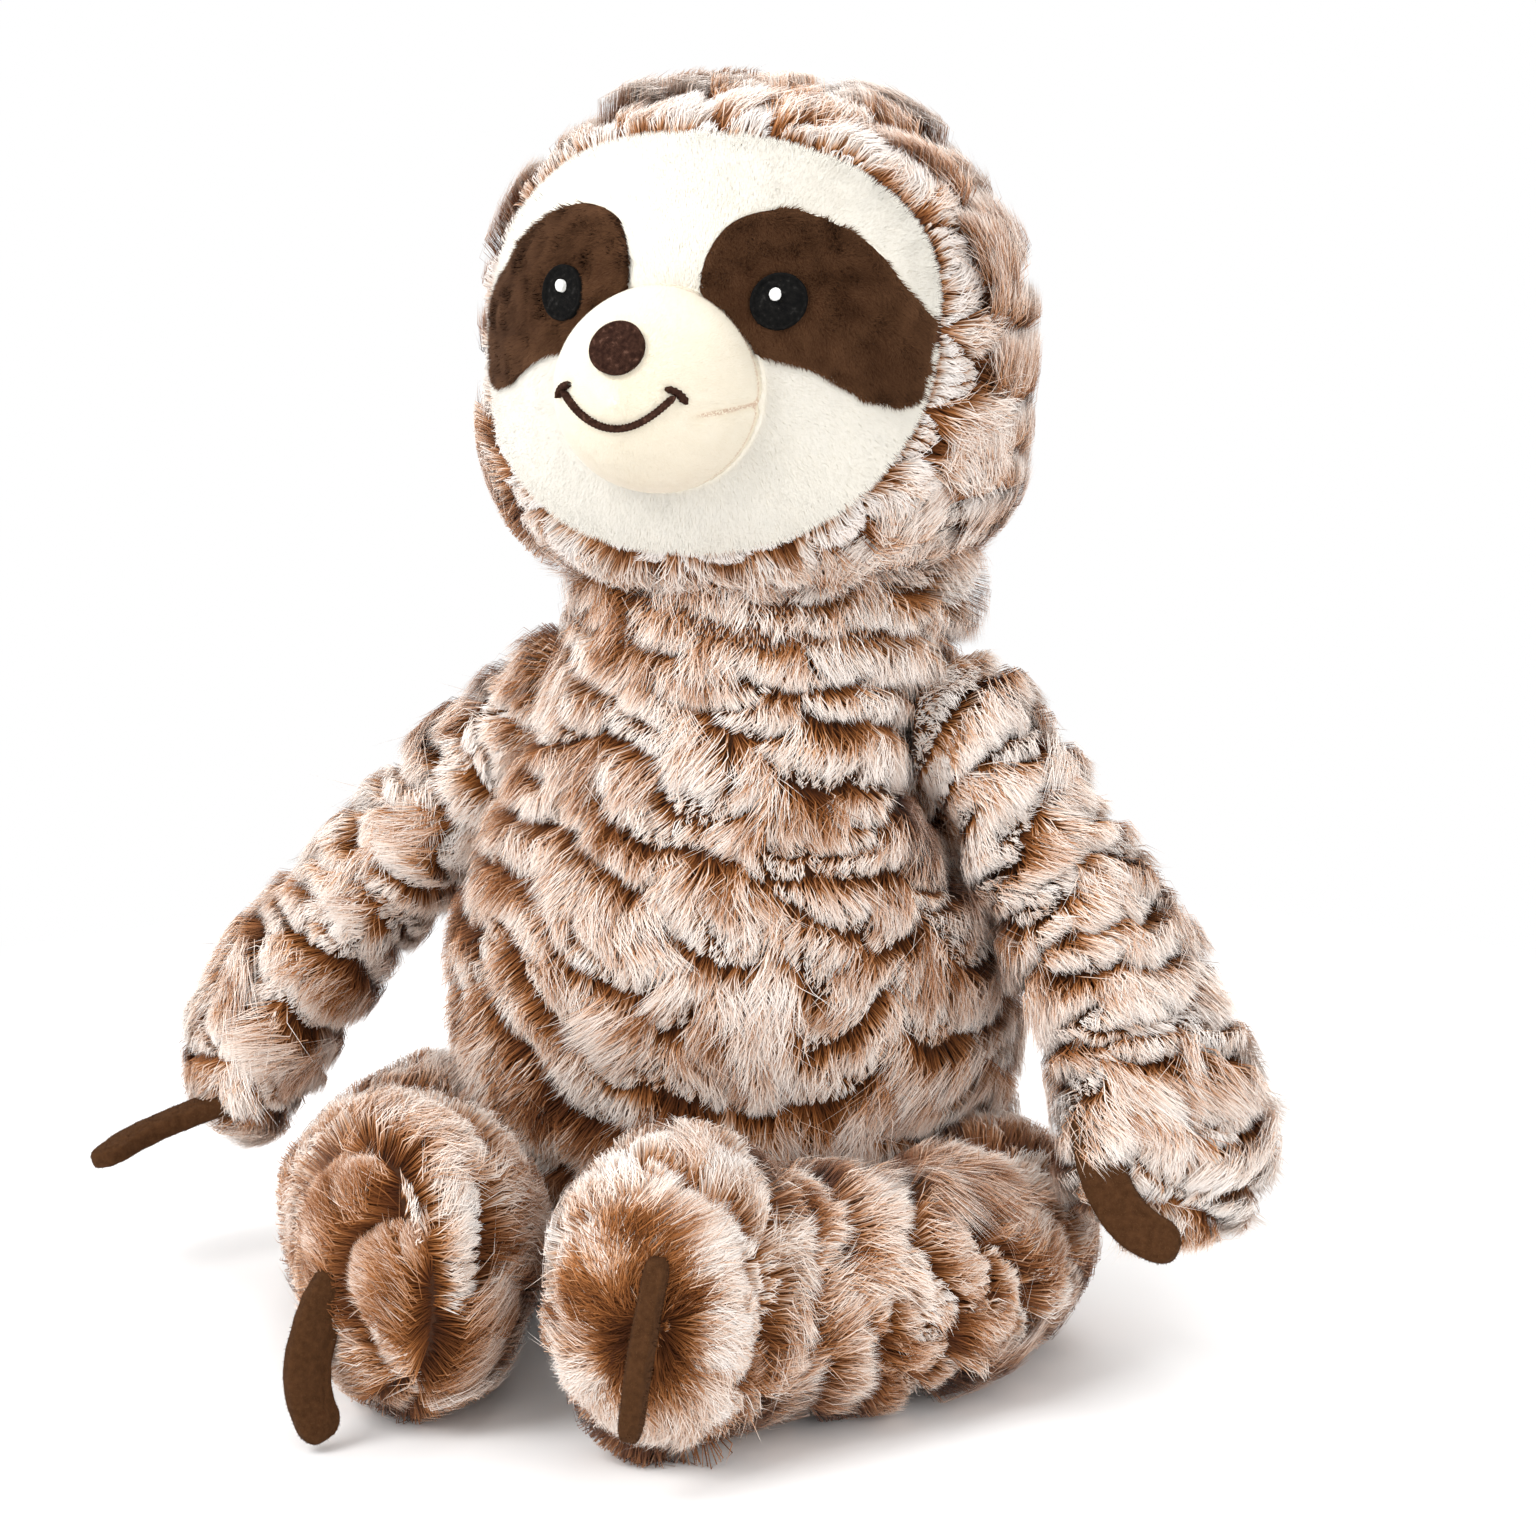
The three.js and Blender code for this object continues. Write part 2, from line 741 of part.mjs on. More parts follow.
// The body: a shag skin open at the neck, its filling, and the pellet pouch in the seat
function addBody() {
  let whole = padded(bodyForm, shagPile, bodyMesh).subtract(belowGround);
  let cavity = padded(bodyForm, insideCloth, insideMesh);
  let filling = padded(bodyForm, insideGap, insideMesh);
  const skinDepth = shagPile + clothThickness;
  whole = whole.subtract(limbRecesses(0));
  cavity = cavity.subtract(limbRecesses(skinDepth));
  filling = filling.subtract(limbRecesses(skinDepth + gap));
  whole = underNeckBall(whole, neckBallRadius, neckMesh);
  cavity = underNeckBall(cavity, neckBallRadius - skinDepth, insideMesh);
  filling = underNeckBall(filling, neckBallRadius - skinDepth - gap, insideMesh);
  const opening = neckBar(neckOpeningRadius, neckPlugLow - openingDepth, bodyHeight + overrun);
  filling = filling.subtract(slab(neckPlugLow - gap, bodyHeight + overrun));
  filling = filling.subtract(pouchPocket());
  add("body_plush", whole.subtract(cavity).subtract(opening), finishes.shag);
  add("body_stuffing", filling, finishes.filling);
  add("pellet_pouch", padded(pouchForm, 0, insideMesh), finishes.pouchCloth);
  const plug = neckBar(neckOpeningRadius - gap, neckPlugLow, bodyHeight + overrun);
  add("neck_stuffing", plug.intersect(neckBall(neckBallRadius)), finishes.filling);
}

// The head: a hood open at the face and the neck, and its filling with the muzzle's bump
function addHead(face) {
  const whole = padded(headForm, shagPile, headMesh);
  const hood = whole.subtract(padded(headForm, insideCloth, insideMesh)).subtract(neckHollow);
  add("head_plush", hood.subtract(facePrism(face)), finishes.shag);
  const bump = muzzleDome(insideGap);
  const filling = padded(headForm, insideGap, insideMesh).add(bump).subtract(neckHollow);
  add("head_stuffing", filling, finishes.filling);
}

// The face: two cream panels, two eye patches and the muzzle, sewn edge to edge
function addFace(face) {
  const inner = facePrism(grown(face, -gap));
  const muzzleHole = muzzleDome(velourPile + gap);
  const layer = faceLayer(insideCloth, shortPile).intersect(inner).subtract(muzzleHole);
  let panels = layer.subtract(neckHollow);
  for (const [name, side] of sides) {
    const width = patchOuter - patchInner;
    const corners = patchShares.map(([out, up]) => [
      side * (patchInner + out * width),
      patchMiddle + up * patchHalfHeight,
    ]);
    const outline = smoothOutline(side > 0 ? corners.reverse() : corners, outlinePoints);
    add(`${name}_eye_patch`, layer.intersect(facePrism(outline)), finishes.brown);
    panels = panels.subtract(facePrism(grown(outline, gap)));
  }
  const line = headCentreHeight + cheekLine;
  add("forehead_panel", panels.intersect(slab(line, line + overrun * 2)), finishes.cream);
  add("cheek_panel", panels.intersect(slab(line - overrun * 2, line)), finishes.cream);
  const dome = muzzleLayer(insideCloth, velourPile);
  const seat = padded(headForm, insideCloth, faceMesh);
  add("muzzle", dome.subtract(seat), finishes.velour);
}

// How a tick slopes and bows, as shares of its length
const tickShares = { across: 0.8, down: 0.7, bow: 0.5, peak: 0.25 };

// The smile's curve and the short tick that crosses each of its ends
function smileLines() {
  const curve = [];
  const ends = [];
  for (let step = 0; step <= linePoints; step += 1) {
    const share = (2 * step) / linePoints - 1;
    curve.push([share * smileHalfWidth, -smileDrop - smileSag * (1 - share * share)]);
  }
  for (const [, side] of sides) {
    const tick = [];
    for (let step = 0; step <= tickPoints; step += 1) {
      const share = step / tickPoints - 0.5;
      const bow = (tickShares.peak - share * share) * tickLength * tickShares.bow;
      const across = smileHalfWidth + share * tickLength * tickShares.across + bow;
      tick.push([side * across, -smileDrop - share * tickLength * tickShares.down + bow]);
    }
    ends.push(tick);
  }
  return [curve, ...ends];
}

// The embroidery: nose and smile on the muzzle, eyes and their glints on the patches
function addEmbroidery() {
  const low = velourPile + gap;
  const onMuzzle = muzzleLayer(low, low + threadThickness);
  const noseSpot = [0, -noseDrop];
  const nose = ovalOutline(
    noseSpot, noseHalfWidth, noseHalfHeight, noseHalfHeight, 2, smallOutlinePoints);
  add("nose_embroidery", onMuzzle.intersect(facePrism(nose, muzzleBack)), finishes.darkThread);
  let smile = null;
  for (const line of smileLines()) {
    const band = facePrism(bandOutline(line, smileWidth), muzzleBack);
    smile = smile ? smile.add(band) : band;
  }
  add("smile_embroidery", onMuzzle.intersect(smile), finishes.darkThread);
  const eyeLow = shortPile + gap;
  const onPatch = faceLayer(eyeLow, eyeLow + threadThickness);
  const glintLow = eyeLow + threadThickness + gap;
  const onEye = faceLayer(glintLow, glintLow + glintThickness);
  for (const [name, side] of sides) {
    const spot = [side * eyeApart, eyeLift];
    const eye = ovalOutline(spot, eyeRadius, eyeRadius, eyeRadius, 2, smallOutlinePoints);
    add(`${name}_eye`, onPatch.intersect(facePrism(eye)), finishes.blackThread);
    const light = [side * eyeApart, eyeLift + glintLift];
    const glint = ovalOutline(
      light, glintRadius, glintRadius, glintRadius, 2, smallOutlinePoints);
    add(`${name}_eye_glint`, onEye.intersect(facePrism(glint)), finishes.whiteThread);
  }
}

// A limb: its skin open at the seam, its filling and its claw
function addLimb(name, claw, side, form, trim, opening) {
  const body = trim(padded(form, shagPile, limbMesh), 0);
  let cavity = padded(form, insideCloth, insideMesh);
  if (opening) {
    cavity = cavity.add(opening);
  }
  const filling = trim(padded(form, insideGap, insideMesh), gap);
  const slot = clawSolid(claw, side, form, gap);
  add(`${name}_plush`, body.subtract(cavity).subtract(slot), finishes.shag);
  add(`${name}_stuffing`, filling.subtract(slot), finishes.filling);
  add(`${claw}_claw`, clawSolid(claw, side, form, 0), finishes.felt);
}

function addArm(name, side) {
  const trim = (body, clear) => body.intersect(outsideShoulder(side, gap + clear));
  addLimb(`${name}_arm`, `${name}_hand`, side, armForm(side), trim, null);
}

function addLeg(name, side) {
  const trim = (body, clear) => body.subtract(slab(-overrun, clear));
  const bar = new THREE.CylinderGeometry(
    legOpeningRadius, legOpeningRadius, hipRadius, recessSides);
  bar.rotateZ(Math.PI / 2);
  bar.translate(side * (hipApart - hipRadius), -hipForward, legHalfHeight - baseCut);
  addLimb(`${name}_leg`, `${name}_foot`, side, legForm(side), trim, solid(bar));
}

const faceOval = ovalOutline(
  [0, 0], faceHalfWidth, faceAbove, faceBelow, faceSquareness, outlinePoints);
addBody();
addHead(faceOval);
addFace(faceOval);
addEmbroidery();
for (const [name, side] of sides) {
  addArm(name, side);
  addLeg(name, side);
}

export default object;
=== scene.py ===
# The dressed plush sloth: stuffed skins, combed pile, a short-pile face, thread and felt.
# Lengths are millimetres until a mesh is made. +Z is up and the toy looks along -Y.
import math

import bpy
import numpy as np
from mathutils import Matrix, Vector
from mathutils.bvhtree import BVHTree
from mathutils.geometry import delaunay_2d_cdt
from mathutils.kdtree import KDTree


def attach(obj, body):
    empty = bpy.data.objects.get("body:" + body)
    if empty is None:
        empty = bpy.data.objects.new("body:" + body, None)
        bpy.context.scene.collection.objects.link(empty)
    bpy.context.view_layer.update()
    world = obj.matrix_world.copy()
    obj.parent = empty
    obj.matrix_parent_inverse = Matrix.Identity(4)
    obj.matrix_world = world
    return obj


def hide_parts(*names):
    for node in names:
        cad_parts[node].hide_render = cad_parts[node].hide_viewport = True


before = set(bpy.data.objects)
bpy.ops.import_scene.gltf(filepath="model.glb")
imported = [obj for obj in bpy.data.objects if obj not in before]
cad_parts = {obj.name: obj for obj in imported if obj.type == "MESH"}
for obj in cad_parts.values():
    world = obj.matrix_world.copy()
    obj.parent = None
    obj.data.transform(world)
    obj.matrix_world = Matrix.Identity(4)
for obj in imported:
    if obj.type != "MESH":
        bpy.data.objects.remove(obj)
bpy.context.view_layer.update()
scene = bpy.context.scene
rng = np.random.default_rng(11)

# Sizes shared with the solids
PILE = 5.0
NECK = np.array([0.0, 6.0, 158.0])
NECK_BALL = 55.0
HEAD_Z = 246.0
SHOULDER = np.array([45.0, 2.0, 147.0])
HIP = np.array([50.0, -14.0, 0.0])
HIP_SWING = math.radians(16)
MM = 0.001

# Rows up the body and the head: share of the height, half width, half depth, lean forward
BODY_ROWS = [
    (0.0, 0.8, 0.8, 0.1), (0.1, 0.92, 0.93, 0.2), (0.22, 0.98, 0.99, 0.72),
    (0.37, 1.0, 1.0, 1.0), (0.5, 0.89, 0.92, 0.7), (0.62, 0.76, 0.82, 0.25),
    (0.75, 0.66, 0.73, -0.2), (0.86, 0.65, 0.71, -0.38), (1.0, 0.62, 0.7, -0.38),
]
HEAD_ROWS = [(0.0, 1.0, 1.0, 0.0), (0.5, 1.0, 1.0, 0.0), (1.0, 0.96, 1.0, -1.0)]
# Rows along a limb: share of its length, half width, half depth
ARM_ROWS = [
    (0.0, 0.6, 1.0), (0.2, 0.6, 0.98), (0.45, 0.7, 0.88),
    (0.7, 0.86, 0.96), (0.88, 1.0, 1.0), (1.0, 0.96, 0.92),
]
LEG_ROWS = [
    (0.0, 0.96, 0.685), (0.2, 0.98, 0.685), (0.45, 1.0, 0.685),
    (0.7, 1.0, 0.77), (0.88, 1.0, 1.0), (1.0, 0.98, 1.0),
]
# An arm's spine from the shoulder, in shares of its reach out, down and ahead
ARM_SPINE = [
    (0.0, 0.0, 0.0), (0.3, 0.18, 0.12), (0.66, 0.5, 0.4), (0.9, 0.8, 0.78), (1.0, 1.08, 1.0),
]
# An eye patch's corners, in shares of its reach out from the muzzle and of its half height
PATCH = [
    (0.0, 0.28), (0.09, 0.84), (0.31, 1.0), (0.5, 0.87), (0.67, 0.62), (0.8, 0.22), (0.97, -0.36),
    (1.0, -0.66), (0.84, -0.97), (0.68, -0.88), (0.53, -0.63), (0.4, -0.5), (0.26, -0.44),
    (0.1, -0.2),
]
# A claw's place along its limb, where its root sits, how it leaves and where it bends to
CLAWS = {
    "left_hand": (0.8, (-0.5, 0.94, 0.1), (0.24, 0.42, -0.9), (0.9, -0.2, 0.2)),
    "right_hand": (1.0, (-0.45, 0.48, 0.3), (0.88, 0.4, -0.32), (-0.2, 1.0, -0.1)),
    "left_foot": (1.0, (0.05, -0.1, 0.72), (0.1, 0.7, -0.7), (-0.25, -0.5, -0.8)),
    "right_foot": (1.0, (0.22, -0.15, 0.2), (0.3, 0.6, -0.8), (-0.4, -0.3, -0.85)),
}
SIDES = (("left", 1), ("right", -1))


def unit(v):
    return v / np.maximum(np.linalg.norm(v, axis=-1, keepdims=True), 1e-9)


def dot(a, b):
    return np.sum(a * b, axis=-1)


# Repeatable numbers from -1 to 1 for whole-number keys
def keyed(a, b, c, seed):
    h = (a * 374761393 + b * 668265263 + c * 1442695041 + seed * 974634777) & 0xFFFFFFFF
    h = ((h ^ (h >> 13)) * 1274126177) & 0xFFFFFFFF
    h = ((h ^ (h >> 16)) * 668265263) & 0xFFFFFFFF
    return ((h ^ (h >> 15)) & 0xFFFF) / 32767.5 - 1


# Smooth noise from -1 to 1 at points, with lumps of a size
def noise(points, size, seed):
    p = points / size
    base = np.floor(p).astype(np.int64)
    f = p - base
    f = f * f * (3 - 2 * f)
    total = np.zeros(len(points))
    for dx in (0, 1):
        wx = f[:, 0] if dx else 1 - f[:, 0]
        for dy in (0, 1):
            wy = f[:, 1] if dy else 1 - f[:, 1]
            for dz in (0, 1):
                wz = f[:, 2] if dz else 1 - f[:, 2]
                total += wx * wy * wz * keyed(
                    base[:, 0] + dx, base[:, 1] + dy, base[:, 2] + dz, seed)
    return total


# A smooth table: the value in a column at places between its rows
def table(rows, place, column):
    rows = np.array(rows)
    x, y = rows[:, 0], rows[:, column]
    last = len(x) - 1
    every = np.arange(last + 1)
    before, after = np.maximum(every - 1, 0), np.minimum(every + 1, last)
    slope = (y[after] - y[before]) / (x[after] - x[before])
    i = np.clip(np.searchsorted(x, place, "right") - 1, 0, last - 1)
    w = x[i + 1] - x[i]
    t = np.clip((place - x[i]) / w, 0, 1)
    return (
        (2 * t**3 - 3 * t**2 + 1) * y[i] + (t**3 - 2 * t**2 + t) * w * slope[i]
        + (3 * t**2 - 2 * t**3) * y[i + 1] + (t**3 - t**2) * w * slope[i + 1]
    )


# A smooth curve through spots, as close points and the run of length along them
def curve_through(spots, closed=False):
    p = np.array(spots, float)
    if closed:
        p = np.vstack([p[-1:], p, p[:2]])
    else:
        p = np.vstack([2 * p[0] - p[1], p, 2 * p[-1] - p[-2]])
    parts = []
    for i in range(len(p) - 3):
        p0, p1, p2, p3 = p[i : i + 4]
        pairs = ((p0, p1), (p1, p2), (p2, p3))
        d0, d1, d2 = (max(float(np.sum((b - a) ** 2)) ** 0.25, 1e-4) for a, b in pairs)
        t1 = ((p1 - p0) / d0 - (p2 - p0) / (d0 + d1) + (p2 - p1) / d1) * d1
        t2 = ((p2 - p1) / d1 - (p3 - p1) / (d1 + d2) + (p3 - p2) / d2) * d1
        w = np.linspace(0, 1, 40, endpoint=False)[:, None]
        square, cube = 3 * p2 - 3 * p1 - 2 * t1 - t2, 2 * p1 - 2 * p2 + t1 + t2
        parts.append(p1 + t1 * w + square * w**2 + cube * w**3)
    parts.append(p[-2:-1])
    fine = np.vstack(parts)
    run = np.concatenate([[0], np.cumsum(np.linalg.norm(np.diff(fine, axis=0), axis=1))])
    return fine, run


# How full a closed end is at a distance from its tip, from 0 to 1
def fullness(distance, round_off, blunt=2.2):
    missing = 1 - np.clip(distance / round_off, 0, 1)
    return (1 - missing**blunt) ** (1 / blunt)


# A stuffed form: rings round a spine, closed at both ends
class Form:
    def __init__(self, spots, half, ahead, start_round, end_round):
        self.fine, self.run = curve_through(spots)
        self.length = self.run[-1]
        self.half, self.ahead = half, np.array(ahead, float)
        self.rounds = (start_round, end_round)

    def spine(self, along, step=0.7):
        place = np.clip(along, 0, self.length)
        at = lambda s: np.stack([np.interp(s, self.run, self.fine[:, k]) for k in range(3)], -1)
        ends = (np.clip(place + d, 0, self.length) for d in (step, -step))
        tangent = unit(np.subtract(*(at(end) for end in ends)))
        return at(place) + tangent * (along - place)[..., None], tangent

    # Ring points, with the distance along the spine of each ring
    def grid(self, proud, rings, sides):
        whole = self.length + 2 * proud
        share = (1 - np.cos(np.pi * np.arange(rings + 1) / rings)) / 2
        along = share * whole - proud
        centre, tangent = self.spine(along)
        side = unit(np.cross(self.ahead, tangent))
        front = np.cross(tangent, side)
        full = fullness(along + proud, self.rounds[0] + proud)
        full = full * fullness(whole - along - proud, self.rounds[1] + proud)
        wide, deep = self.half(np.clip(along / self.length, 0, 1))
        angle = 2 * np.pi * np.arange(sides) / sides
        wide, deep = (wide + proud) * full, (deep + proud) * full
        co = (
            centre[:, None]
            + side[:, None] * (np.cos(angle)[None, :, None] * wide[:, None, None])
            + front[:, None] * (np.sin(angle)[None, :, None] * deep[:, None, None])
        )
        return co, along


def upright(rows, low, high, half_width, half_depth, forward, start_round, end_round):
    spots = [(0, -row[3] * forward, low + row[0] * (high - low)) for row in rows]
    half = lambda place: (table(rows, place, 1) * half_width, table(rows, place, 2) * half_depth)
    return Form(spots, half, (0, 1, 0), start_round, end_round)


def arm_form(side):
    x, y, z = SHOULDER
    reach, ahead, drop, twist = (81 if side > 0 else 90), 38, 102, 0.9
    spots = [(side * (x - 12), y, z)]
    spots += [(side * (x + o * reach), y - a * ahead, z - d * drop) for o, d, a in ARM_SPINE]
    half = lambda place: (table(ARM_ROWS, place, 1) * 24, table(ARM_ROWS, place, 2) * 12)
    return Form(spots, half, (side * math.sin(twist), -math.cos(twist), 0), 12, 24)


def leg_form(side):
    spots = [
        (25.35, 14, 27), (50, 14, 27), (72, 25.5, 27), (69.8, 70, 27), (36.84, 110.08, 32.25),
        (32, 128, 37.5), (38, 148, 37.5),
    ]
    spots = [(side * x, -y, z) for x, y, z in spots]
    half = lambda place: (table(LEG_ROWS, place, 1) * 22, table(LEG_ROWS, place, 2) * 33)
    return Form(spots, half, (0, 0, -1), 22, 20)


FORMS = {
    "body": upright(
        BODY_ROWS, low=4.5, high=218, half_width=69, half_depth=60, forward=16,
        start_round=30, end_round=10),
    "head": upright(
        HEAD_ROWS, low=174, high=298, half_width=65.5, half_depth=56, forward=5,
        start_round=45, end_round=60),
}
for word, side in SIDES:
    FORMS[f"{word}_arm"] = arm_form(side)
    FORMS[f"{word}_leg"] = leg_form(side)


# Points with normals, asked for the distance outside them
class Shell:
    def __init__(self, co, normal):
        self.co, self.normal = co, normal
        self.tree = KDTree(len(co))
        for i, p in enumerate(co):
            self.tree.insert(p, i)
        self.tree.balance()

    def outside(self, points):
        near = np.array([self.tree.find(p)[1] for p in points])
        return dot(points - self.co[near], self.normal[near]), self.normal[near]


# Triangles of a closed form: a tip, rings and a tip
def grid_faces(rings, sides):
    s = np.arange(sides)
    n = (s + 1) % sides
    tris = [np.stack([0 * s, 1 + n, 1 + s], 1)]
    for ring in range(rings - 2):
        tris += ring_faces(1 + ring * sides, sides)
    top = 1 + (rings - 2) * sides
    tris.append(np.stack([top + s, top + n, 0 * s + top + sides], 1))
    return np.vstack(tris)


# Triangles from a ring of points to the next ring above it
def ring_faces(low, sides):
    s = np.arange(sides)
    n = (s + 1) % sides
    high = low + sides
    return [np.stack([low + s, low + n, high + n], 1), np.stack([low + s, high + n, high + s], 1)]


# A dome from rings of points, the first of which is one spot, facing the toy's front
def dome_mesh(co, rings, sides):
    co = np.vstack([co[:1], co[sides:]])
    s = np.arange(sides)
    n = (s + 1) % sides
    tris = [np.stack([0 * s, 1 + s, 1 + n], 1)]
    for ring in range(rings - 2):
        low = 1 + ring * sides
        high = low + sides
        tris.append(np.stack([low + s, high + s, high + n], 1))
        tris.append(np.stack([low + s, high + n, low + n], 1))
    tris = np.vstack(tris)
    if vertex_normals(co, tris)[0][1] > 0:
        tris = tris[:, ::-1]
    return co, tris


def flat_grid(co):
    return np.vstack([co[0, :1], co[1:-1].reshape(-1, 3), co[-1, :1]])


def face_normals(co, tris):
    a, b, c = (co[tris[:, k]] for k in range(3))
    return np.cross(b - a, c - a)


def vertex_normals(co, tris):
    face = face_normals(co, tris)
    total = np.zeros_like(co)
    for k in range(3):
        np.add.at(total, tris[:, k], face)
    return unit(total)


# A mesh object from arrays, in millimetres
def make_mesh(name, co, tris, material, uv=None, normals=None):
    me = bpy.data.meshes.new(name)
    me.vertices.add(len(co))
    me.vertices.foreach_set("co", (co * MM).astype(np.float32).ravel())
    size = tris.shape[1]
    me.loops.add(tris.size)
    me.loops.foreach_set("vertex_index", tris.astype(np.int32).ravel())
    me.polygons.add(len(tris))
    me.polygons.foreach_set("loop_start", np.arange(0, tris.size, size, dtype=np.int32))
    me.polygons.foreach_set("use_smooth", np.full(len(tris), True))
    me.update(calc_edges=True)
    if uv is not None:
        layer = me.uv_layers.new(name="OFBake")
        layer.data.foreach_set("uv", uv[tris.ravel()].astype(np.float32).ravel())
    if normals is not None:
        me.normals_split_custom_set_from_vertices(normals.astype(np.float32))
    me.materials.append(material)
    obj = bpy.data.objects.new(name, me)
    scene.collection.objects.link(obj)
    return obj


# Puts a piece on the body it rides on, and hides the solid it stands for
def declare(obj, body, node=None):
    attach(obj, body)
    if node:
        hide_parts(node)


# A cloth's thickness, set inwards
def thicken(obj, thickness):
    solid = obj.modifiers.new("thickness", "SOLIDIFY")
    solid.thickness, solid.offset = thickness, -1


# Node materials
class Nodes:
    def __init__(self, name):
        self.mat = bpy.data.materials.new(name)
        self.mat.use_nodes = True
        self.tree = self.mat.node_tree
        self.shader = self.tree.nodes["Principled BSDF"]

    def add(self, kind, **values):
        node = self.tree.nodes.new(kind)
        for key, value in values.items():
            setattr(node, key, value)
        return node

    def link(self, a, b):
        self.tree.links.new(a, b)

    def ramp(self, factor, stops):
        node = self.add("ShaderNodeValToRGB")
        ramp = node.color_ramp
        while len(ramp.elements) < len(stops):
            ramp.elements.new(0.5)
        for element, (place, colour) in zip(ramp.elements, stops):
            element.position = place
            element.color = (*colour, 1)
        self.link(factor, node.inputs["Fac"])
        return node.outputs["Color"]

    def mix(self, factor, a, b):
        node = self.add("ShaderNodeMix", data_type="RGBA", blend_type="MIX")
        for socket, value in ((0, factor), (6, a), (7, b)):
            self.link(value, node.inputs[socket])
        return node.outputs[2]

    def noise(self, size, detail=3.0):
        node = self.add("ShaderNodeTexNoise")
        node.inputs["Scale"].default_value = size
        node.inputs["Detail"].default_value = detail
        self.link(self.add("ShaderNodeTexCoord").outputs["Object"], node.inputs["Vector"])
        return node.outputs["Fac"]

    def bump(self, height, strength, distance):
        node = self.add("ShaderNodeBump")
        node.inputs["Strength"].default_value = strength
        node.inputs["Distance"].default_value = distance
        self.link(height, node.inputs["Height"])
        self.link(node.outputs["Normal"], self.shader.inputs["Normal"])

    def finish(self, colour, roughness, sheen=0.0, specular=0.12):
        self.link(colour, self.shader.inputs["Base Color"])
        self.shader.inputs["Roughness"].default_value = roughness
        self.shader.inputs["Sheen Weight"].default_value = sheen
        self.shader.inputs["Sheen Roughness"].default_value = 0.5
        self.shader.inputs["Specular IOR Level"].default_value = specular
        return self.mat


# A pile's colour runs from root to tip down its map, and from its darker to its paler tone across
def pile_material(name, dark, pale, sheen=0.15):
    n = Nodes(name)
    place = n.add("ShaderNodeUVMap", uv_map="OFBake").outputs["UV"]
    split = n.add("ShaderNodeSeparateXYZ")
    n.link(place, split.inputs[0])
    deep = n.ramp(split.outputs["Y"], dark)
    light = n.ramp(split.outputs["Y"], pale)
    colour = n.mix(split.outputs["X"], deep, light)
    return n.finish(colour, 0.9, sheen, 0.08)


def cloth_material(name, a, b, size, bump=0.3, roughness=0.9, sheen=0.2):
    n = Nodes(name)
    colour = n.ramp(n.noise(size, 4.0), [(0.3, a), (0.7, b)])
    n.bump(n.noise(size * 9, 3.0), bump, 0.0006)
    return n.finish(colour, roughness, sheen)


# Thread in fine grains of three tones
def thread_material(name, dark, light, speck):
    n = Nodes(name)
    colour = n.ramp(n.noise(900, 2.0), [(0.35, dark), (0.62, light), (0.74, speck)])
    n.bump(n.noise(1500, 2.0), 0.4, 0.0003)
    return n.finish(colour, 0.8, 0.0, 0.04)


SHAG = pile_material(
    "shag_pile",
    [(0.0, (0.035, 0.009, 0.003)), (0.3, (0.12, 0.034, 0.008)), (0.5, (0.3, 0.098, 0.024)),
     (0.61, (0.6, 0.285, 0.12)), (0.74, (0.88, 0.73, 0.62)), (1.0, (0.93, 0.86, 0.81))],
    [(0.0, (0.07, 0.02, 0.006)), (0.2, (0.22, 0.072, 0.018)), (0.38, (0.47, 0.185, 0.06)),
     (0.48, (0.77, 0.48, 0.3)), (0.6, (0.93, 0.83, 0.75)), (1.0, (0.96, 0.92, 0.89))],
    0.1,
)
CREAM = pile_material(
    "cream_pile",
    [(0.0, (0.86, 0.79, 0.66)), (0.5, (0.9, 0.85, 0.74)), (1.0, (0.92, 0.88, 0.79))],
    [(0.0, (0.9, 0.84, 0.72)), (0.5, (0.93, 0.89, 0.8)), (1.0, (0.95, 0.92, 0.85))],
    0.1,
)
BROWN = pile_material(
    "brown_pile",
    [(0.0, (0.025, 0.009, 0.004)), (0.5, (0.043, 0.017, 0.007)), (1.0, (0.075, 0.031, 0.013))],
    [(0.0, (0.04, 0.016, 0.007)), (0.5, (0.08, 0.034, 0.015)), (1.0, (0.2, 0.095, 0.046))],
    0.05,
)
# The velour's pinkest, darkest end colours only the seam round the muzzle and the painted shade in
# its dart's crease
VELOUR = pile_material(
    "velour",
    [(0.0, (0.5, 0.28, 0.18)), (0.3, (0.84, 0.74, 0.58)), (1.0, (0.89, 0.82, 0.67))],
    [(0.0, (0.62, 0.39, 0.27)), (0.3, (0.89, 0.81, 0.66)), (1.0, (0.94, 0.88, 0.75))],
    0.1,
)
BACKING = cloth_material("shag_backing", (0.035, 0.012, 0.005), (0.09, 0.034, 0.013), 90)
FACE_BACKING = cloth_material("cream_backing", (0.88, 0.82, 0.7), (0.93, 0.89, 0.8), 260, 0.25)
PATCH_BACKING = cloth_material("brown_backing", (0.035, 0.014, 0.006), (0.07, 0.03, 0.014), 150)
MUZZLE_CLOTH = cloth_material("muzzle_cloth", (0.87, 0.79, 0.63), (0.92, 0.85, 0.71), 160, 0.3)
FELT = cloth_material("felt", (0.06, 0.024, 0.008), (0.1, 0.042, 0.016), 700, 0.8, 1.0, 0.0)
FELT_FUZZ = pile_material(
    "felt_fuzz",
    [(0.0, (0.055, 0.021, 0.007)), (1.0, (0.1, 0.042, 0.017))],
    [(0.0, (0.08, 0.033, 0.012)), (1.0, (0.16, 0.075, 0.033))],
    0.0,
)
FILLING = cloth_material("fibre_filling", (0.8, 0.8, 0.78), (0.93, 0.93, 0.92), 70, 0.8)
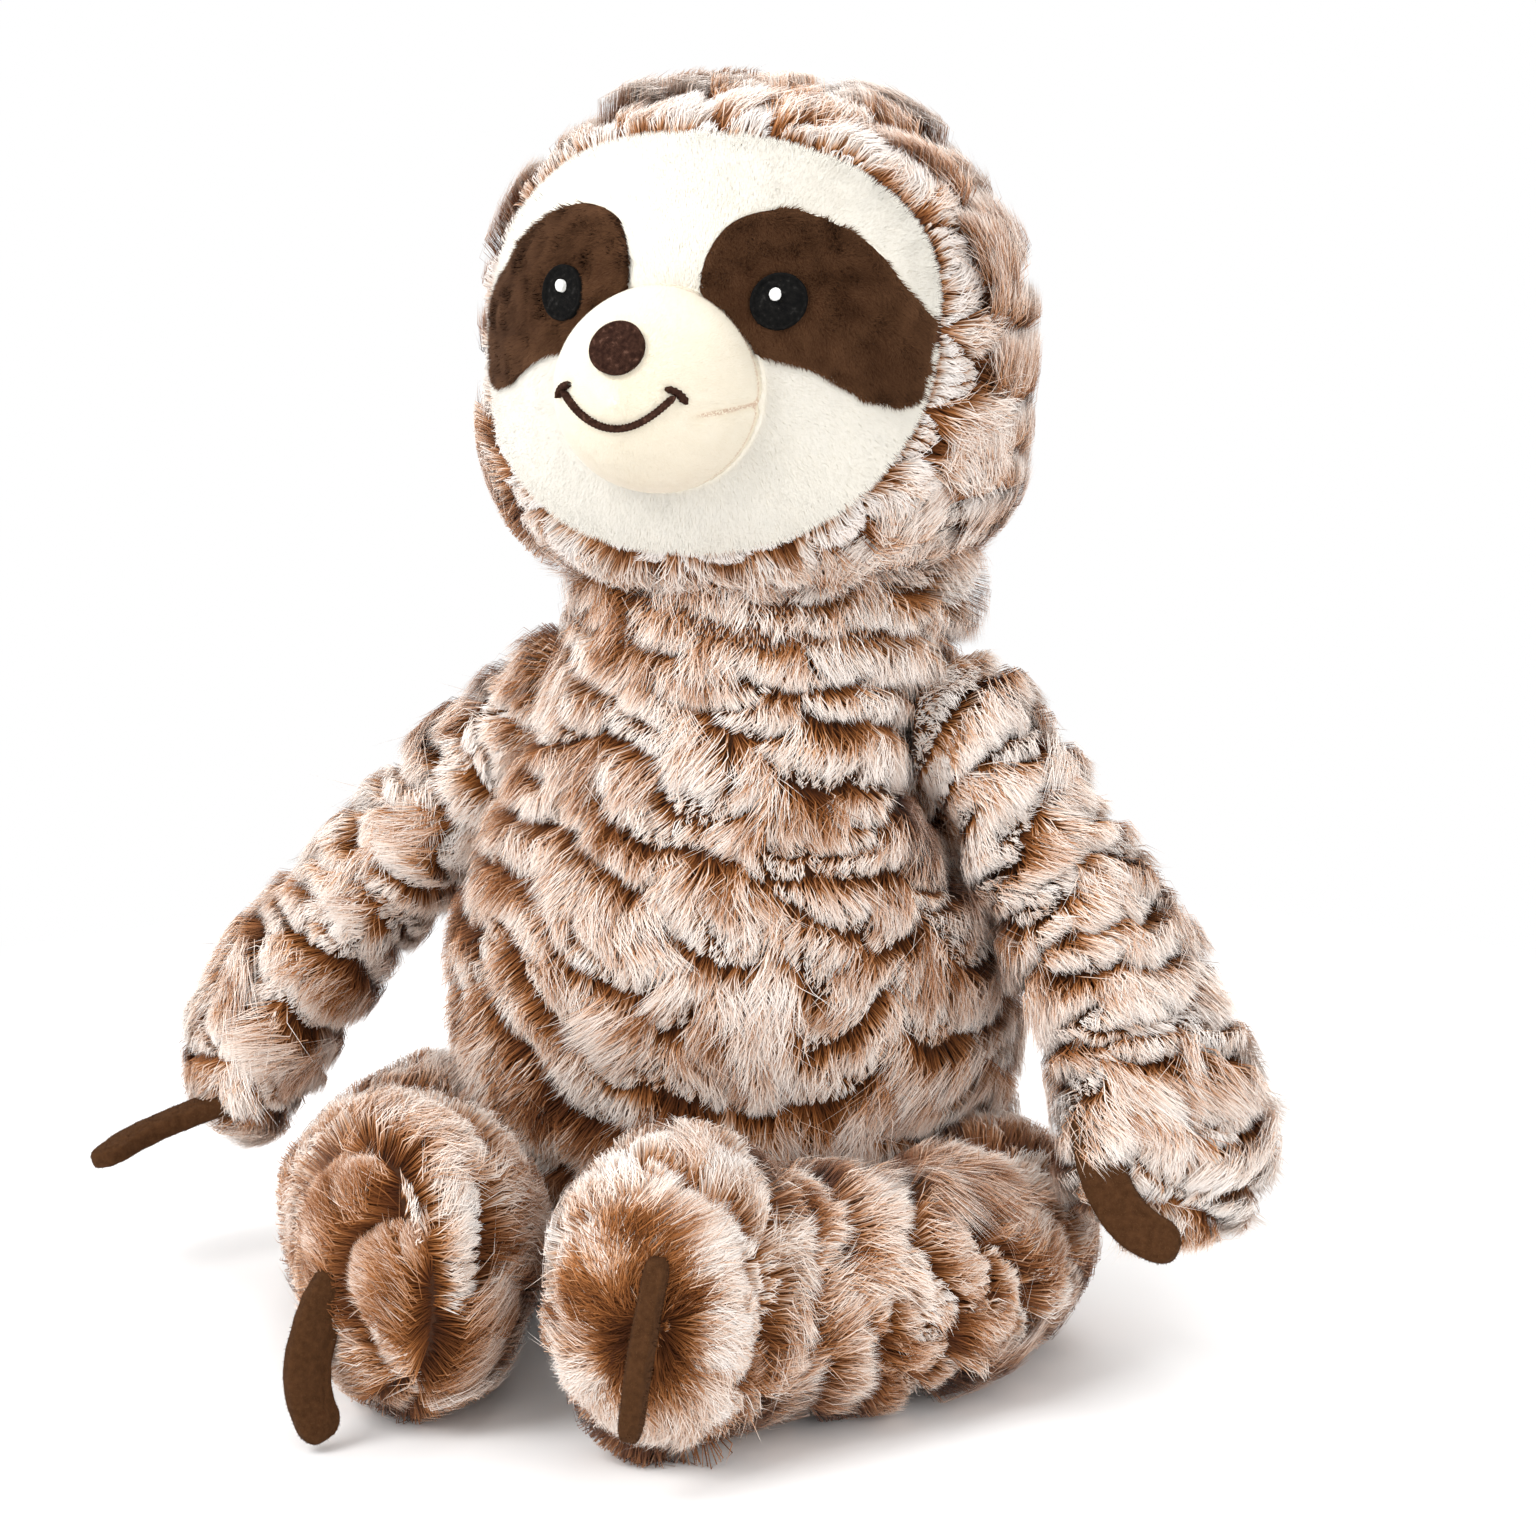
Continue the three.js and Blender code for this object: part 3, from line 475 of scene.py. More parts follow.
POUCH = cloth_material("pouch_cloth", (0.6, 0.57, 0.5), (0.72, 0.69, 0.62), 300, 0.4)
BLACK_THREAD = thread_material(
    "black_thread", (0.004, 0.004, 0.004), (0.008, 0.0075, 0.007), (0.022, 0.021, 0.02))
DARK_THREAD = thread_material(
    "dark_thread", (0.022, 0.009, 0.006), (0.045, 0.02, 0.013), (0.1, 0.05, 0.035))
WHITE_THREAD = thread_material(
    "white_thread", (0.8, 0.8, 0.78), (0.92, 0.92, 0.9), (0.96, 0.96, 0.95))


# Body parts as skins that carry what the pile needs: directions, distances and curvature
class Skin:
    def __init__(self, name, form, rings, sides, proud=0.0, by_spine=False):
        self.name, self.rings, self.sides = name, rings, sides
        grid, rows = form.grid(proud, rings, sides)
        self.co = flat_grid(grid)
        self.tris = grid_faces(rings, sides)
        self.refresh()
        turn = np.broadcast_to(2 * np.pi * np.arange(sides) / sides, (rings + 1, sides))
        self.turn = flat_grid(np.stack([np.cos(turn), np.sin(turn), 0 * turn], -1))[:, :2]
        if by_spine:
            run = rows + PILE
        else:
            steps = np.linalg.norm(np.diff(grid, axis=0), axis=2).mean(1)
            run = np.concatenate([[0], np.cumsum(steps)])
        self.along = flat_grid(np.repeat(run[:, None, None], sides, 1) * np.ones(3))[:, 0]
        girth = np.linalg.norm(grid - np.roll(grid, 1, axis=1), axis=2).sum(1)
        self.girth_at = lambda a, run=run, girth=girth: np.interp(a, run, girth)
        self.total = form.length + 2 * PILE if by_spine else run[-1]
        self.held = np.zeros(len(self.co), bool)

    def refresh(self):
        self.normal = vertex_normals(self.co, self.tris)

    def as_grid(self, values):
        first = np.repeat(values[:1], self.sides, 0)[None]
        last = np.repeat(values[-1:], self.sides, 0)[None]
        return np.concatenate([first, values[1:-1].reshape(self.rings - 1, self.sides, -1), last])

    # Directions and curvatures once the shape is final; sign turns the flow against the spine
    def settle(self, sign):
        self.refresh()
        co, normal = self.as_grid(self.co), self.as_grid(self.normal)
        up = np.gradient(co, axis=0)
        beside = lambda grid: np.roll(grid, -1, 1) - np.roll(grid, 1, 1)
        bend = lambda turn, step: dot(turn, unit(step)) / np.maximum(
            np.linalg.norm(step, axis=2), 0.5)
        bent = lambda grid: np.clip(flat_grid(grid[..., None] * np.ones(3))[:, 0], -0.005, 0.05)
        self.flow = unit(flat_grid(unit(up))) * sign
        self.bend_along = bent(bend(np.gradient(normal, axis=0), up))
        self.bend_across = bent(bend(beside(normal), beside(co)))
        # The ring's own turn runs across the flow, one way or the other
        self.way = -sign
        if sign < 0:
            self.along = self.total - self.along
            old = self.girth_at
            self.girth_at = lambda a: old(self.total - a)

    def make(self, material):
        self.obj = make_mesh(self.name, self.co, self.tris, material)

    # Puffs the skin out with air inside it, held where it is sewn, and keeps the result
    def puff(self, cap, frames=18):
        obj = self.obj
        group = obj.vertex_groups.new(name="held")
        group.add([int(i) for i in np.flatnonzero(self.held)], 1.0, "REPLACE")
        mod = obj.modifiers.new("Cloth", "CLOTH")
        s = mod.settings
        s.quality = 4
        s.use_pressure = True
        s.uniform_pressure_force = 4
        s.effector_weights.gravity = 0
        s.tension_stiffness = s.compression_stiffness = 15
        s.bending_stiffness = 1
        s.vertex_group_mass = "held"
        mod.collision_settings.use_collision = False
        mod.collision_settings.use_self_collision = False
        for step in range(frames):
            scene.frame_set(step + 1)
        done = obj.evaluated_get(bpy.context.evaluated_depsgraph_get()).to_mesh()
        co = np.empty(self.co.size, np.float32)
        done.vertices.foreach_get("co", co)
        obj.modifiers.remove(mod)
        obj.vertex_groups.remove(group)
        scene.frame_set(1)
        move = co.reshape(-1, 3) * 1000.0 - self.co
        size = np.linalg.norm(move, axis=1, keepdims=True)
        move *= np.minimum(1, cap / np.maximum(size, 1e-6))
        move[self.held] = 0
        self.co = self.co + move
        obj.data.vertices.foreach_set("co", (self.co * MM).astype(np.float32).ravel())
        obj.data.update()


# Dense points of a form, for contacts
def shell_of(form, rings=70, sides=48):
    co = flat_grid(form.grid(0.0, rings, sides)[0])
    return Shell(co, vertex_normals(co, grid_faces(rings, sides)))


shells = {name: shell_of(form) for name, form in FORMS.items()}


def turned(points, centre, angle):
    c, s = math.cos(angle), math.sin(angle)
    p = points - centre
    return np.stack([p[:, 0] * c - p[:, 1] * s, p[:, 0] * s + p[:, 1] * c, p[:, 2]], 1) + centre


# Moves points inwards until they clear a shell, and says which ones moved
def press(co, normal, shell, clear):
    touched = np.zeros(len(co), bool)
    for _ in range(30):
        away, out = shell.outside(co)
        bad = away < clear
        if not bad.any():
            break
        touched |= bad
        push = unit(0.75 * -normal[bad] + 0.25 * out[bad])
        co[bad] += push * np.minimum(1.0, clear - away[bad])[:, None]
    return touched


# How near the arm's pile comes to the middle, at distances from the shoulder's axis
def arm_floor(word, side):
    seam_radius, band, none = 21, 6, 999.0
    p = flat_grid(FORMS[f"{word}_arm"].grid(PILE, 60, 40)[0])
    away = np.hypot(p[:, 1] - SHOULDER[1], p[:, 2] - SHOULDER[2])
    radii = np.arange(0, 75, 3.0)
    reach = [
        np.min(side * p[np.abs(away - r) <= band, 0], initial=none) if r > seam_radius
        else SHOULDER[0] for r in radii]
    return radii, np.maximum(np.array(reach), SHOULDER[0])


# The body's skin, with a round cap under the head, and clear of arms and legs as they swing
def body_skin():
    arm_gap, leg_gap, floor_gap, held_below = 3.5, 7.0, 3.2, 6
    skin = Skin("body_skin", FORMS["body"], 64, 84, -1.0, True)
    co = skin.co
    top = co - NECK
    far = np.linalg.norm(top, axis=1)
    cap = (far > NECK_BALL - PILE) & (co[:, 2] > NECK[2])
    co[cap] = NECK + top[cap] / far[cap, None] * (NECK_BALL - PILE)
    skin.held |= cap
    for word, side in SIDES:
        radii, floor = arm_floor(word, side)
        away = np.hypot(co[:, 1] - SHOULDER[1], co[:, 2] - SHOULDER[2])
        limit = np.interp(away, radii, floor - arm_gap, right=999)
        limit += np.clip(away - 49, 0, 99) * 2.5
        deep = side * co[:, 0] > limit
        co[deep, 0] = side * limit[deep]
        skin.held |= deep
        for share in (0, 0.5, 1):
            angle = side * share * HIP_SWING
            local = turned(co, HIP * (side, 1, 1), -angle)
            normal = turned(skin.normal, np.zeros(3), -angle)
            skin.held |= press(local, normal, shells[f"{word}_leg"], leg_gap)
            co[:] = turned(local, HIP * (side, 1, 1), angle)
    co[:, 2] = np.maximum(co[:, 2], floor_gap)
    skin.held |= co[:, 2] < held_below
    return skin


# The hood's skin, hollowed underneath by the neck's ball
def head_skin():
    skin = Skin("hood_skin", FORMS["head"], 60, 90, -0.8, True)
    co = skin.co
    flat = np.hypot(co[:, 0], co[:, 1] - NECK[1])
    ball = NECK_BALL + 0.8
    roof = NECK[2] + np.sqrt(np.maximum(ball**2 - flat**2, 0))
    under = (co[:, 2] < roof) & (flat < ball) & (co[:, 2] < 230)
    co[under, 2] = roof[under]
    skin.held |= under
    return skin


# A limb's skin. An arm is flat at the shoulder's seam and hangs fuller under the forearm
def limb_skin(name, side):
    skin = Skin(name + "_skin", FORMS[name], 54, 48, -0.8)
    if name.endswith("arm"):
        seam = SHOULDER[0] + 0.6
        inner = side * skin.co[:, 0] < seam
        under = skin.normal @ unit(np.array([-side * 0.75, 0.0, -0.65]))
        low = np.clip((124 - skin.co[:, 2]) / 30, 0, 1) * np.clip(under, 0, 1)
        skin.co += skin.normal * ((4.0 if side < 0 else 2.6) * low)[:, None]
        skin.co[inner, 0] = side * seam
        skin.held |= inner
    skin.co[:, 2] = np.maximum(skin.co[:, 2], 2.6)
    return skin


skins = {"body": body_skin(), "head": head_skin()}
for word, side in SIDES:
    for limb in ("arm", "leg"):
        skins[f"{word}_{limb}"] = limb_skin(f"{word}_{limb}", side)
for name, skin in skins.items():
    skin.make(BACKING)
    skin.puff(1.6)
    skin.settle(1 if name.endswith(("head", "arm")) else -1)
    declare(skin.obj, "torso" if name == "body" else name, f"{name}_plush")
hood = skins["head"]


# Random places spread evenly over triangles of some areas, as a blend of corner values
def spread_on(tris, area, count):
    run = np.cumsum(area)
    pick = np.searchsorted(
        run, (np.arange(count) + rng.random(count)) / count * run[-1] * 0.999999)
    r1, r2 = np.sqrt(rng.random(count)), rng.random(count)
    weight = np.stack([1 - r1, r1 * (1 - r2), r1 * r2], 1)
    return lambda values: np.einsum("nk,nk...->n...", weight, values[tris[pick]])


def scatter(co, tris, normal, count):
    blend = spread_on(tris, np.linalg.norm(face_normals(co, tris), axis=1), count)
    return blend(co), unit(blend(normal))


# Evenly spread roots on a skin, where keep allows them
def roots_on(skin, count, keep, only=None):
    area = np.linalg.norm(face_normals(skin.co, skin.tris), axis=1)
    blend = spread_on(skin.tris, area * keep(skin)[skin.tris].mean(1), count)
    out = {"co": blend(skin.co), "normal": unit(blend(skin.normal))}
    flow = blend(skin.flow)
    out["flow"] = unit(flow - out["normal"] * dot(flow, out["normal"])[:, None])
    out["along"] = blend(skin.along)
    turn = blend(skin.turn)
    out["turn"] = np.arctan2(turn[:, 1], turn[:, 0])
    out["bend_along"], out["bend_across"] = blend(skin.bend_along), blend(skin.bend_across)
    if only is not None:
        wanted = only(out["co"])
        out = {key: value[wanted] for key, value in out.items()}
    out["girth_at"], out["way"] = skin.girth_at, skin.way
    out["ahead"] = skin.total - out["along"]
    return out


# Ribbons of two steps each that face outwards, with the skin's own soft normals
def ribbons(name, root, mid, tip, normal, lead, width, tone, shade):
    count = len(root)
    run = unit(tip - root)
    side = unit(np.cross(run, normal))
    wobble = rng.normal(0, 0.2, count)[:, None]
    side = unit(side * np.cos(wobble) + np.cross(run, side) * np.sin(wobble))
    w = side * width[:, None] * 0.5
    co = np.stack([root - w, root + w, mid - w * 0.9, mid + w * 0.9, tip], 1)
    face = np.cross(side, run)
    face *= np.where(dot(face, normal) < 0, -1, 1)[:, None]
    base = unit(normal * 0.85 + face * 0.15)
    end = unit(normal * 0.72 + face * 0.15 + lead * 0.22)
    ones = np.stack([base, base, unit(base + end), unit(base + end), end], 1)
    start = np.arange(count)[:, None, None] * 5
    tris = (start + np.array([[0, 1, 3], [0, 3, 2], [2, 3, 4]])[None]).reshape(-1, 3)
    co[:, :, 2] = np.maximum(co[:, :, 2], 0.3)
    return strand_mesh(name, co, tris, ones, tone, shade[:, [0, 0, 1, 1, 2]], SHAG)


# A mesh of strands, each with its tone across the pile's map and its shade down it
def strand_mesh(name, co, tris, normals, tone, shade, material):
    uv = np.empty((*co.shape[:2], 2))
    uv[:, :, 0] = np.clip(tone, 0.01, 0.99)[:, None]
    uv[:, :, 1] = np.clip(shade, 0.01, 0.99)
    return make_mesh(
        name, co.reshape(-1, 3), tris, material, uv.reshape(-1, 2), normals.reshape(-1, 3))


# The uneven tufts that cover a skin like overlapping scales: for each root, how far ahead
# its tuft's edge lies, where it is across the tuft, and the tuft's own numbers
def tufts(s, pitch, width, wave, phase, uneven, seed):
    co = s["co"]
    a = s["along"] - phase + wave * noise(co, 38, seed) + 0.5 * wave * noise(co, 15, seed + 1)
    best = np.full(len(co), 1e9)
    across, rows, cells, span = (np.zeros(len(co)) for _ in range(4))
    for ahead in (-1, 0, 1, 2):
        row = (np.floor(a / pitch) + ahead).astype(np.int64)
        girth = s["girth_at"]((row + 0.5) * pitch + phase)
        columns = np.maximum(np.round(girth / width), 4)
        step = girth / columns
        c = s["turn"] / (2 * np.pi) * columns + 0.5 * (row % 2) + 0.3 * keyed(row, 0, 3, seed)
        c = c + 0.22 * noise(co, 18, seed + 2)
        for beside in (-1, 0, 1):
            cell = np.floor(c) + beside
            key = np.mod(cell, columns).astype(np.int64)
            any_of = lambda k: keyed(row, key, k, seed)
            half = 0.66 + 0.24 * any_of(1)
            g = (c - cell - 0.5 - 0.28 * any_of(2)) / half
            low = (row + 1 + uneven * any_of(3)) * pitch - a
            low += 3.2 * any_of(4) * g + (4.0 + 2.2 * any_of(5)) * (0.42 - g * g)
            take = (np.abs(g) < 1) & (low > 0) & (low < best)
            take &= any_of(6) > -0.94
            best = np.where(take, low, best)
            across = np.where(take, g, across)
            rows, cells = np.where(take, row, rows), np.where(take, key, cells)
            span = np.where(take, half * step, span)
    bare = best > 1e8
    best[bare] = 0.8 * pitch
    span[bare] = 0.5 * width
    return best, across, rows.astype(np.int64), cells.astype(np.int64), span


dense, thicker = ((1.0, 1.0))


def strands(count):
    return int(count * dense)


# Long pile in tufts, whose strands gather in small locks at a soft cream edge. pitch and
# width are a tuft's and lock a lock's, wave and uneven move the rows, curl and high are the
# strands' lean and height with its soft limit top, and pale shifts their tone. adjust
# changes rise, reach and a shift of colour by place, which is the pile's own tone in some
# places and painted light and shade in others, only picks roots, and relay lays the rows another
# way
def shag(
    name, part, count, keep, seed, body, near, pitch, width, adjust, lock=3.0, wave=5.0,
    curl=0.42, high=6.8, uneven=0.4, phase=0.0, pale=0.0, top=7.5, only=None, relay=None,
):
    s = roots_on(skins[part], strands(count), keep, only)
    sway = relay(s) if relay else 0.0
    co, normal, flow = s["co"], s["normal"], s["flow"]
    count = len(co)
    across = np.cross(normal, flow) * s["way"]
    low, g, row, cell, span = tufts(s, pitch, width, wave, phase, uneven, seed)
    f = np.clip(1 - low / pitch, 0, 1)
    q = g * span / lock + 0.5 * noise(co, 7, seed + 3)
    strip = np.floor(q).astype(np.int64)
    gq = q - strip
    any_of = lambda k: keyed(row, cell, k + 20, seed)
    lock_of = lambda k: keyed(row * 64 + strip, cell, k + 50, seed)
    # How far each strand reaches, and how much it leans to its side
    reach = low + 0.3 + 1.4 * rng.random(count) + 1.7 * lock_of(1)
    reach = np.clip(reach, 1.6, 11.0 + 2.5 * rng.random(count) + 1.5 * lock_of(6))
    lean = curl * noise(co, 42, seed + 4) + 0.9 * curl * any_of(2) + 0.3 * g + 0.16 * lock_of(5)
    lean = lean + sway + rng.normal(0, 0.15, count)
    stray = rng.random(count) < 0.08
    lean[stray] += rng.normal(0, 0.6, stray.sum())
    shift = (0.5 - gq) * lock * 0.66 + lean * reach + rng.normal(0, 0.3, count)
    swirl = 0.35 * noise(co, 9, seed + 9) + rng.normal(0, 0.1, count)
    # How high it stands: a tuft is full at its root side and thin at its edge
    rise = 1.7 + (high - 1.7) * (1 - f**1.6) * (1 - 0.22 * g**4)
    rise = rise * (1 + 0.2 * any_of(3) + 0.16 * lock_of(2)) * (0.72 + 0.42 * rng.random(count))
    rise[stray] += 1.3 * rng.random(stray.sum())
    tone = (
        0.5 + pale + 0.22 * any_of(4) + 0.16 * lock_of(3) + 0.3 * noise(co, 55, seed + 5)
        + rng.normal(0, 0.13, count))
    rise = np.where(rise > top, top + 0.35 * (rise - top), rise)
    rise, reach, tone_and_painted_light_shift = adjust(co, rise, reach)
    # It gives way at the skin's end, near other skins and near the ground
    closing = np.clip(s["ahead"] / 14, 0.15, 1)
    reach, rise = reach * closing, rise * (0.5 + 0.5 * closing)
    for other in near:
        clear, _ = shells[other].outside(co)
        rise = rise * np.clip((clear + 0.6) / 7.0, 0.15, 1)
        reach = reach * np.clip((clear + 4) / 8.0, 0.4, 1)
    room = np.maximum(co[:, 2] * 0.9, 0.6) + np.maximum(normal[:, 2], 0) * 9
    rise = np.minimum(rise, room)

    def at(part_reach, part_shift, up):
        drop = 0.5 * (s["bend_along"] * part_reach**2 + s["bend_across"] * part_shift**2)
        along, beside = flow * part_reach[:, None], across * part_shift[:, None]
        return co + along + beside + normal * (up - drop)[:, None]

    bow = 0.34 + 0.24 * rng.random(count)
    mid = at(reach * bow, shift * bow * 0.8 + swirl * reach, rise * (0.72 + 0.3 * bow))
    tip = at(reach, shift, rise * (0.8 + 0.22 * rng.random(count)))
    # Its colour, brown at the root of a tuft and cream at the edge
    share = np.clip(reach / pitch, 0.1, 1.0)
    middle = 0.84 - 0.3 * share + 0.5 * (bow - 0.46)
    shade = np.stack([0.3 - 0.3 * share, middle, np.full(count, 1.0)], 1)
    shade += (
        rng.normal(0, 0.05, (count, 1)) + 0.07 * lock_of(4)[:, None]
        + 0.06 * any_of(7)[:, None])
    shade += (0.16 * noise(co, 4.2, seed + 8) + 0.1 * noise(co, 9, seed + 10))[:, None]
    # Strands at a lock's edges are darker: partly the brown roots that show between locks, partly
    # painted shade in the partings
    shade -= 0.15 * (np.abs(2 * gq - 1) ** 2)[:, None]
    shade[:, 2] -= 0.3 * rng.random(count) ** 3
    # The shift by place: the pile's own tone on the arms, the soles and beside the face; painted
    # shade under the head and low on the legs, and painted light on the crown
    shade -= tone_and_painted_light_shift[:, None]
    thick = np.where(stray, 0.17, 0.2 + 0.12 * rng.random(count))
    obj = ribbons(name, co, mid, tip, normal, flow, thick * thicker, tone, shade)
    declare(obj, body)


# The body's front or back, without what the head always covers
def body_half(sign):
    def keep(skin):
        neck = np.linalg.norm(skin.co - NECK, axis=1)
        hidden = (skin.co[:, 2] > 206) | ((skin.co[:, 2] > 194) & (np.abs(neck - 51) < 1.5))
        return np.where(hidden, 0, 1) * np.clip(0.5 - sign * skin.co[:, 1] / 10, 0, 1)
    return keep


# The neck's pile stands higher, as it bunches under the head and over the shoulders. It is also a
# little darker towards the head: painted shade under the head.
def neck_ruff(co, rise, reach):
    share = np.clip((co[:, 2] - 160) / 25, 0, 1)
    beside = np.exp(-np.sum(((co - (44, 0, 180)) / (14, 40, 15)) ** 2, axis=1))
    return rise * (1 + 0.25 * share) + 8 * beside, reach, 0.03 * share


# On the belly the pile is stroked down and towards the toy's right
def stroked(s, slant=0.42):
    x = s["co"][:, 0] - 6
    front = np.clip(-s["co"][:, 1] / 25, 0, 1)
    right = 0.5 * (np.sqrt(x * x + 160) - x) * front
    s["along"] = s["along"] + slant * right
    return -slant * np.clip(right / 20, 0, 1)


limbs = tuple(f"{w}_{k}" for w, _ in SIDES for k in ("arm", "leg"))
for word, sign in (("front", 1), ("back", -1)):
    for part in (1, 2):
        shag(
            f"body_pile_{word}_{part}", "body", 62000, body_half(sign), 21, "torso", limbs,
            pitch=13.8, width=14.0, adjust=neck_ruff, relay=stroked)


FACE_WIDE, FACE_TOP, FACE_LOW, FACE_BLUNT = 57.0, 43.6, 51.0, 2.3


# The face's outline in front view, measured from the head's centre
def face_oval(count):
    angle = 2 * np.pi * np.arange(count) / count
    c, s = np.cos(angle), np.sin(angle)
    x = np.sign(c) * np.abs(c) ** (2 / FACE_BLUNT) * FACE_WIDE
    z = np.sign(s) * np.abs(s) ** (2 / FACE_BLUNT) * np.where(s > 0, FACE_TOP, FACE_LOW)
    return np.stack([x, z], 1)


def inside_outline(points, outline):
    x, z = points[:, 0], points[:, 1]
    inside = np.zeros(len(points), bool)
    a, b = outline, np.roll(outline, -1, 0)
    for (x0, z0), (x1, z1) in zip(a, b):
        cross = (z0 > z) != (z1 > z)
        inside ^= cross & (x < (x1 - x0) * (z - z0) / (z1 - z0 + 1e-12) + x0)
    return inside


face_line = face_oval(160)


# How far a place on the head lies outside the face's outline, in about millimetres
def off_face(co):
    x, z = co[:, 0], co[:, 2] - HEAD_Z
    across = np.abs(x / FACE_WIDE) ** FACE_BLUNT
    up = np.abs(z / np.where(z > 0, FACE_TOP, FACE_LOW)) ** FACE_BLUNT
    away = ((across + up) ** (1 / FACE_BLUNT) - 1) * 50
    return np.where(co[:, 1] < -12, away, 60 + co[:, 1])


# A part of the hood by its turn round the upright, without the face and the neck's hollow
def hood_keep(low, high):
    def keep(skin):
        p = skin.co
        neck = np.linalg.norm(p - NECK, axis=1) < NECK_BALL + 1.2
        turn = np.mod(np.arctan2(p[:, 0], -(p[:, 1] + 4)), 2 * np.pi)
        part = (turn >= low) & (turn < high)
        return np.where((off_face(p) < -4) | neck | ~part, 0.0, 1.0)
    return keep


# Round the face the hood's pile runs away from the face on all sides
def from_face(s):
    co = s["co"]
    x, z = co[:, 0], co[:, 2] - HEAD_Z
    s["along"] = np.maximum(off_face(co), 0.1)
    s["turn"] = np.arctan2(z, x)
    away = np.stack([x / FACE_WIDE**2, np.zeros(len(co)), z / FACE_LOW**2], 1)
    away = unit(away) + np.array([0, 0.5, 0.25])
    normal = s["normal"]
    s["flow"] = unit(away - normal * dot(away, normal)[:, None])
    s["girth_at"] = lambda a: 340 + 5.5 * a
    s["way"] = 1.0
    s["ahead"] = np.full(len(co), 99.0)
    return 0.0


# Beside the face the seam presses the pile, so it turns its pale side out
def by_face(co, rise, reach):
    near = np.exp(-np.clip(off_face(co), 0, 99) / 5.0) * (0.8 + 0.6 * noise(co, 9, 97))
    near = np.clip(near, 0, 1)
    return rise * (0.95 - 0.2 * near), reach, -0.34 * near


# The hood's pile is fuller at its top than under the cheeks, and its very top is paler: painted
# light from above.
def crown_fill(co, rise, reach):
    high = np.clip((co[:, 2] - 212) / 45, 0, 1)
    top = np.clip((co[:, 2] - 272) / 20, 0, 1)
    return rise * (0.78 + 0.34 * high) + 1.2 * top, reach, -0.13 * top


# The pile round the face ends at an uneven distance from it
def ring_edge(co):
    return 10 + 3.5 * noise(co, 14, 96)


around = lambda co: (off_face(co) > 0.3) & (off_face(co) <= ring_edge(co))
beyond = lambda co: off_face(co) > ring_edge(co)
everywhere = hood_keep(0, 7)
beside_face = lambda skin: everywhere(skin) * (off_face(skin.co) < 18)
shag(
    "hood_pile_face", "head", 34000, beside_face, 35, "head", ("body",), pitch=10.5, width=11.0,
    wave=4.0, high=7.2, uneven=0.5, phase=-3.0, pale=0.12, adjust=by_face, only=around,
    relay=from_face)
third = 2 * np.pi / 3
for part in range(3):
    shag(
        f"hood_pile_{part + 1}", "head", 52000, hood_keep(part * third, (part + 1) * third), 33,
        "head", ("body",), pitch=14.4, width=15.0, wave=6.0, curl=0.3, high=8.4, uneven=0.36,
        top=8.2, adjust=crown_fill, only=beyond)


# An arm's pile is fuller under the arm, over the shoulder and outside the upper arm
def arm_fill(side):
    shoulder_lift, tone_and_painted_light_shift = (8.0, -0.04) if side > 0 else (4.0, 0.0)
    outside = FORMS["left_arm"].fine[:, 0].mean() + 10

    def adjust(co, rise, reach):
        low = np.clip((150 - co[:, 2]) / 60, 0, 1)
        inner = np.clip((outside - side * co[:, 0]) / 20, 0, 1)
        shoulder = np.exp(-np.sum((co - (side * 56, 0, 166)) ** 2, axis=1) / 22**2)
        lift = 2.0 * low * inner + shoulder_lift * shoulder
        return rise * 1.02 + lift, reach + 2.5 * shoulder, np.full(len(co), tone_and_painted_light_shift)
    return adjust


# A leg's pile is fuller on top, and darker lower down towards the ground: painted shade.
def leg_fill(co, rise, reach):
    top = np.clip((co[:, 2] - 25) / 25, 0, 1)
    return rise + 2.6 * top, reach, 0.12 - 0.12 * top


# How far along a leg, from its end, the sole's pile runs
SOLE = 25.0


# The left sole has a thick pale rim, a brown ring inside it and a tan middle
def left_sole(co, rise, reach):
    away = np.linalg.norm((co - (34, -158, 42)) / (0.92, 1, 1.15), axis=1) + 2.5 * noise(co, 9, 98)
    middle = np.clip((16 - away) / 5, 0, 1)
    ring = np.exp(-((away - 16) / 4.0) ** 2)
    blotch = np.clip(1.6 * noise(co, 7, 95), -0.4, 1)
    return (
        rise * (1 - 0.4 * middle), reach * (1 - 0.4 * middle),
        middle * (0.34 + 0.2 * blotch) + ring * (0.22 + 0.22 * blotch))


# The right sole is one broad brown tuft with a pale rim, combed up and outwards
def right_sole(co, rise, reach):
    return rise, reach, 0.2 + 0.14 * noise(co, 7, 94)


# The right sole's rows spread like a fan from its lower outer side
def fan(s):
    co, normal = s["co"], s["normal"]
    p = co - (-15, -150, 37)
    ahead, above = unit(np.array([-0.86, -0.1, 0.42])), unit(np.array([0.42, 0, 0.86]))
    u, w = p @ ahead, p @ above
    s["along"] = 22 + u - 15 * np.sqrt(np.clip(1 - (w / 21) ** 2, 0, 1)) + 0.02 * w**2
    s["turn"] = np.mod(w / 42 * np.pi / 2 + np.pi / 4, 2 * np.pi)
    s["girth_at"] = lambda a: 168 + 0 * a
    s["way"] = 1.0
    s["ahead"] = np.full(len(co), 99.0)
    run = ahead + above * np.clip(w / 30, -0.6, 0.6)[:, None]
    s["flow"] = unit(run - normal * dot(run, normal)[:, None])
    return 0.0


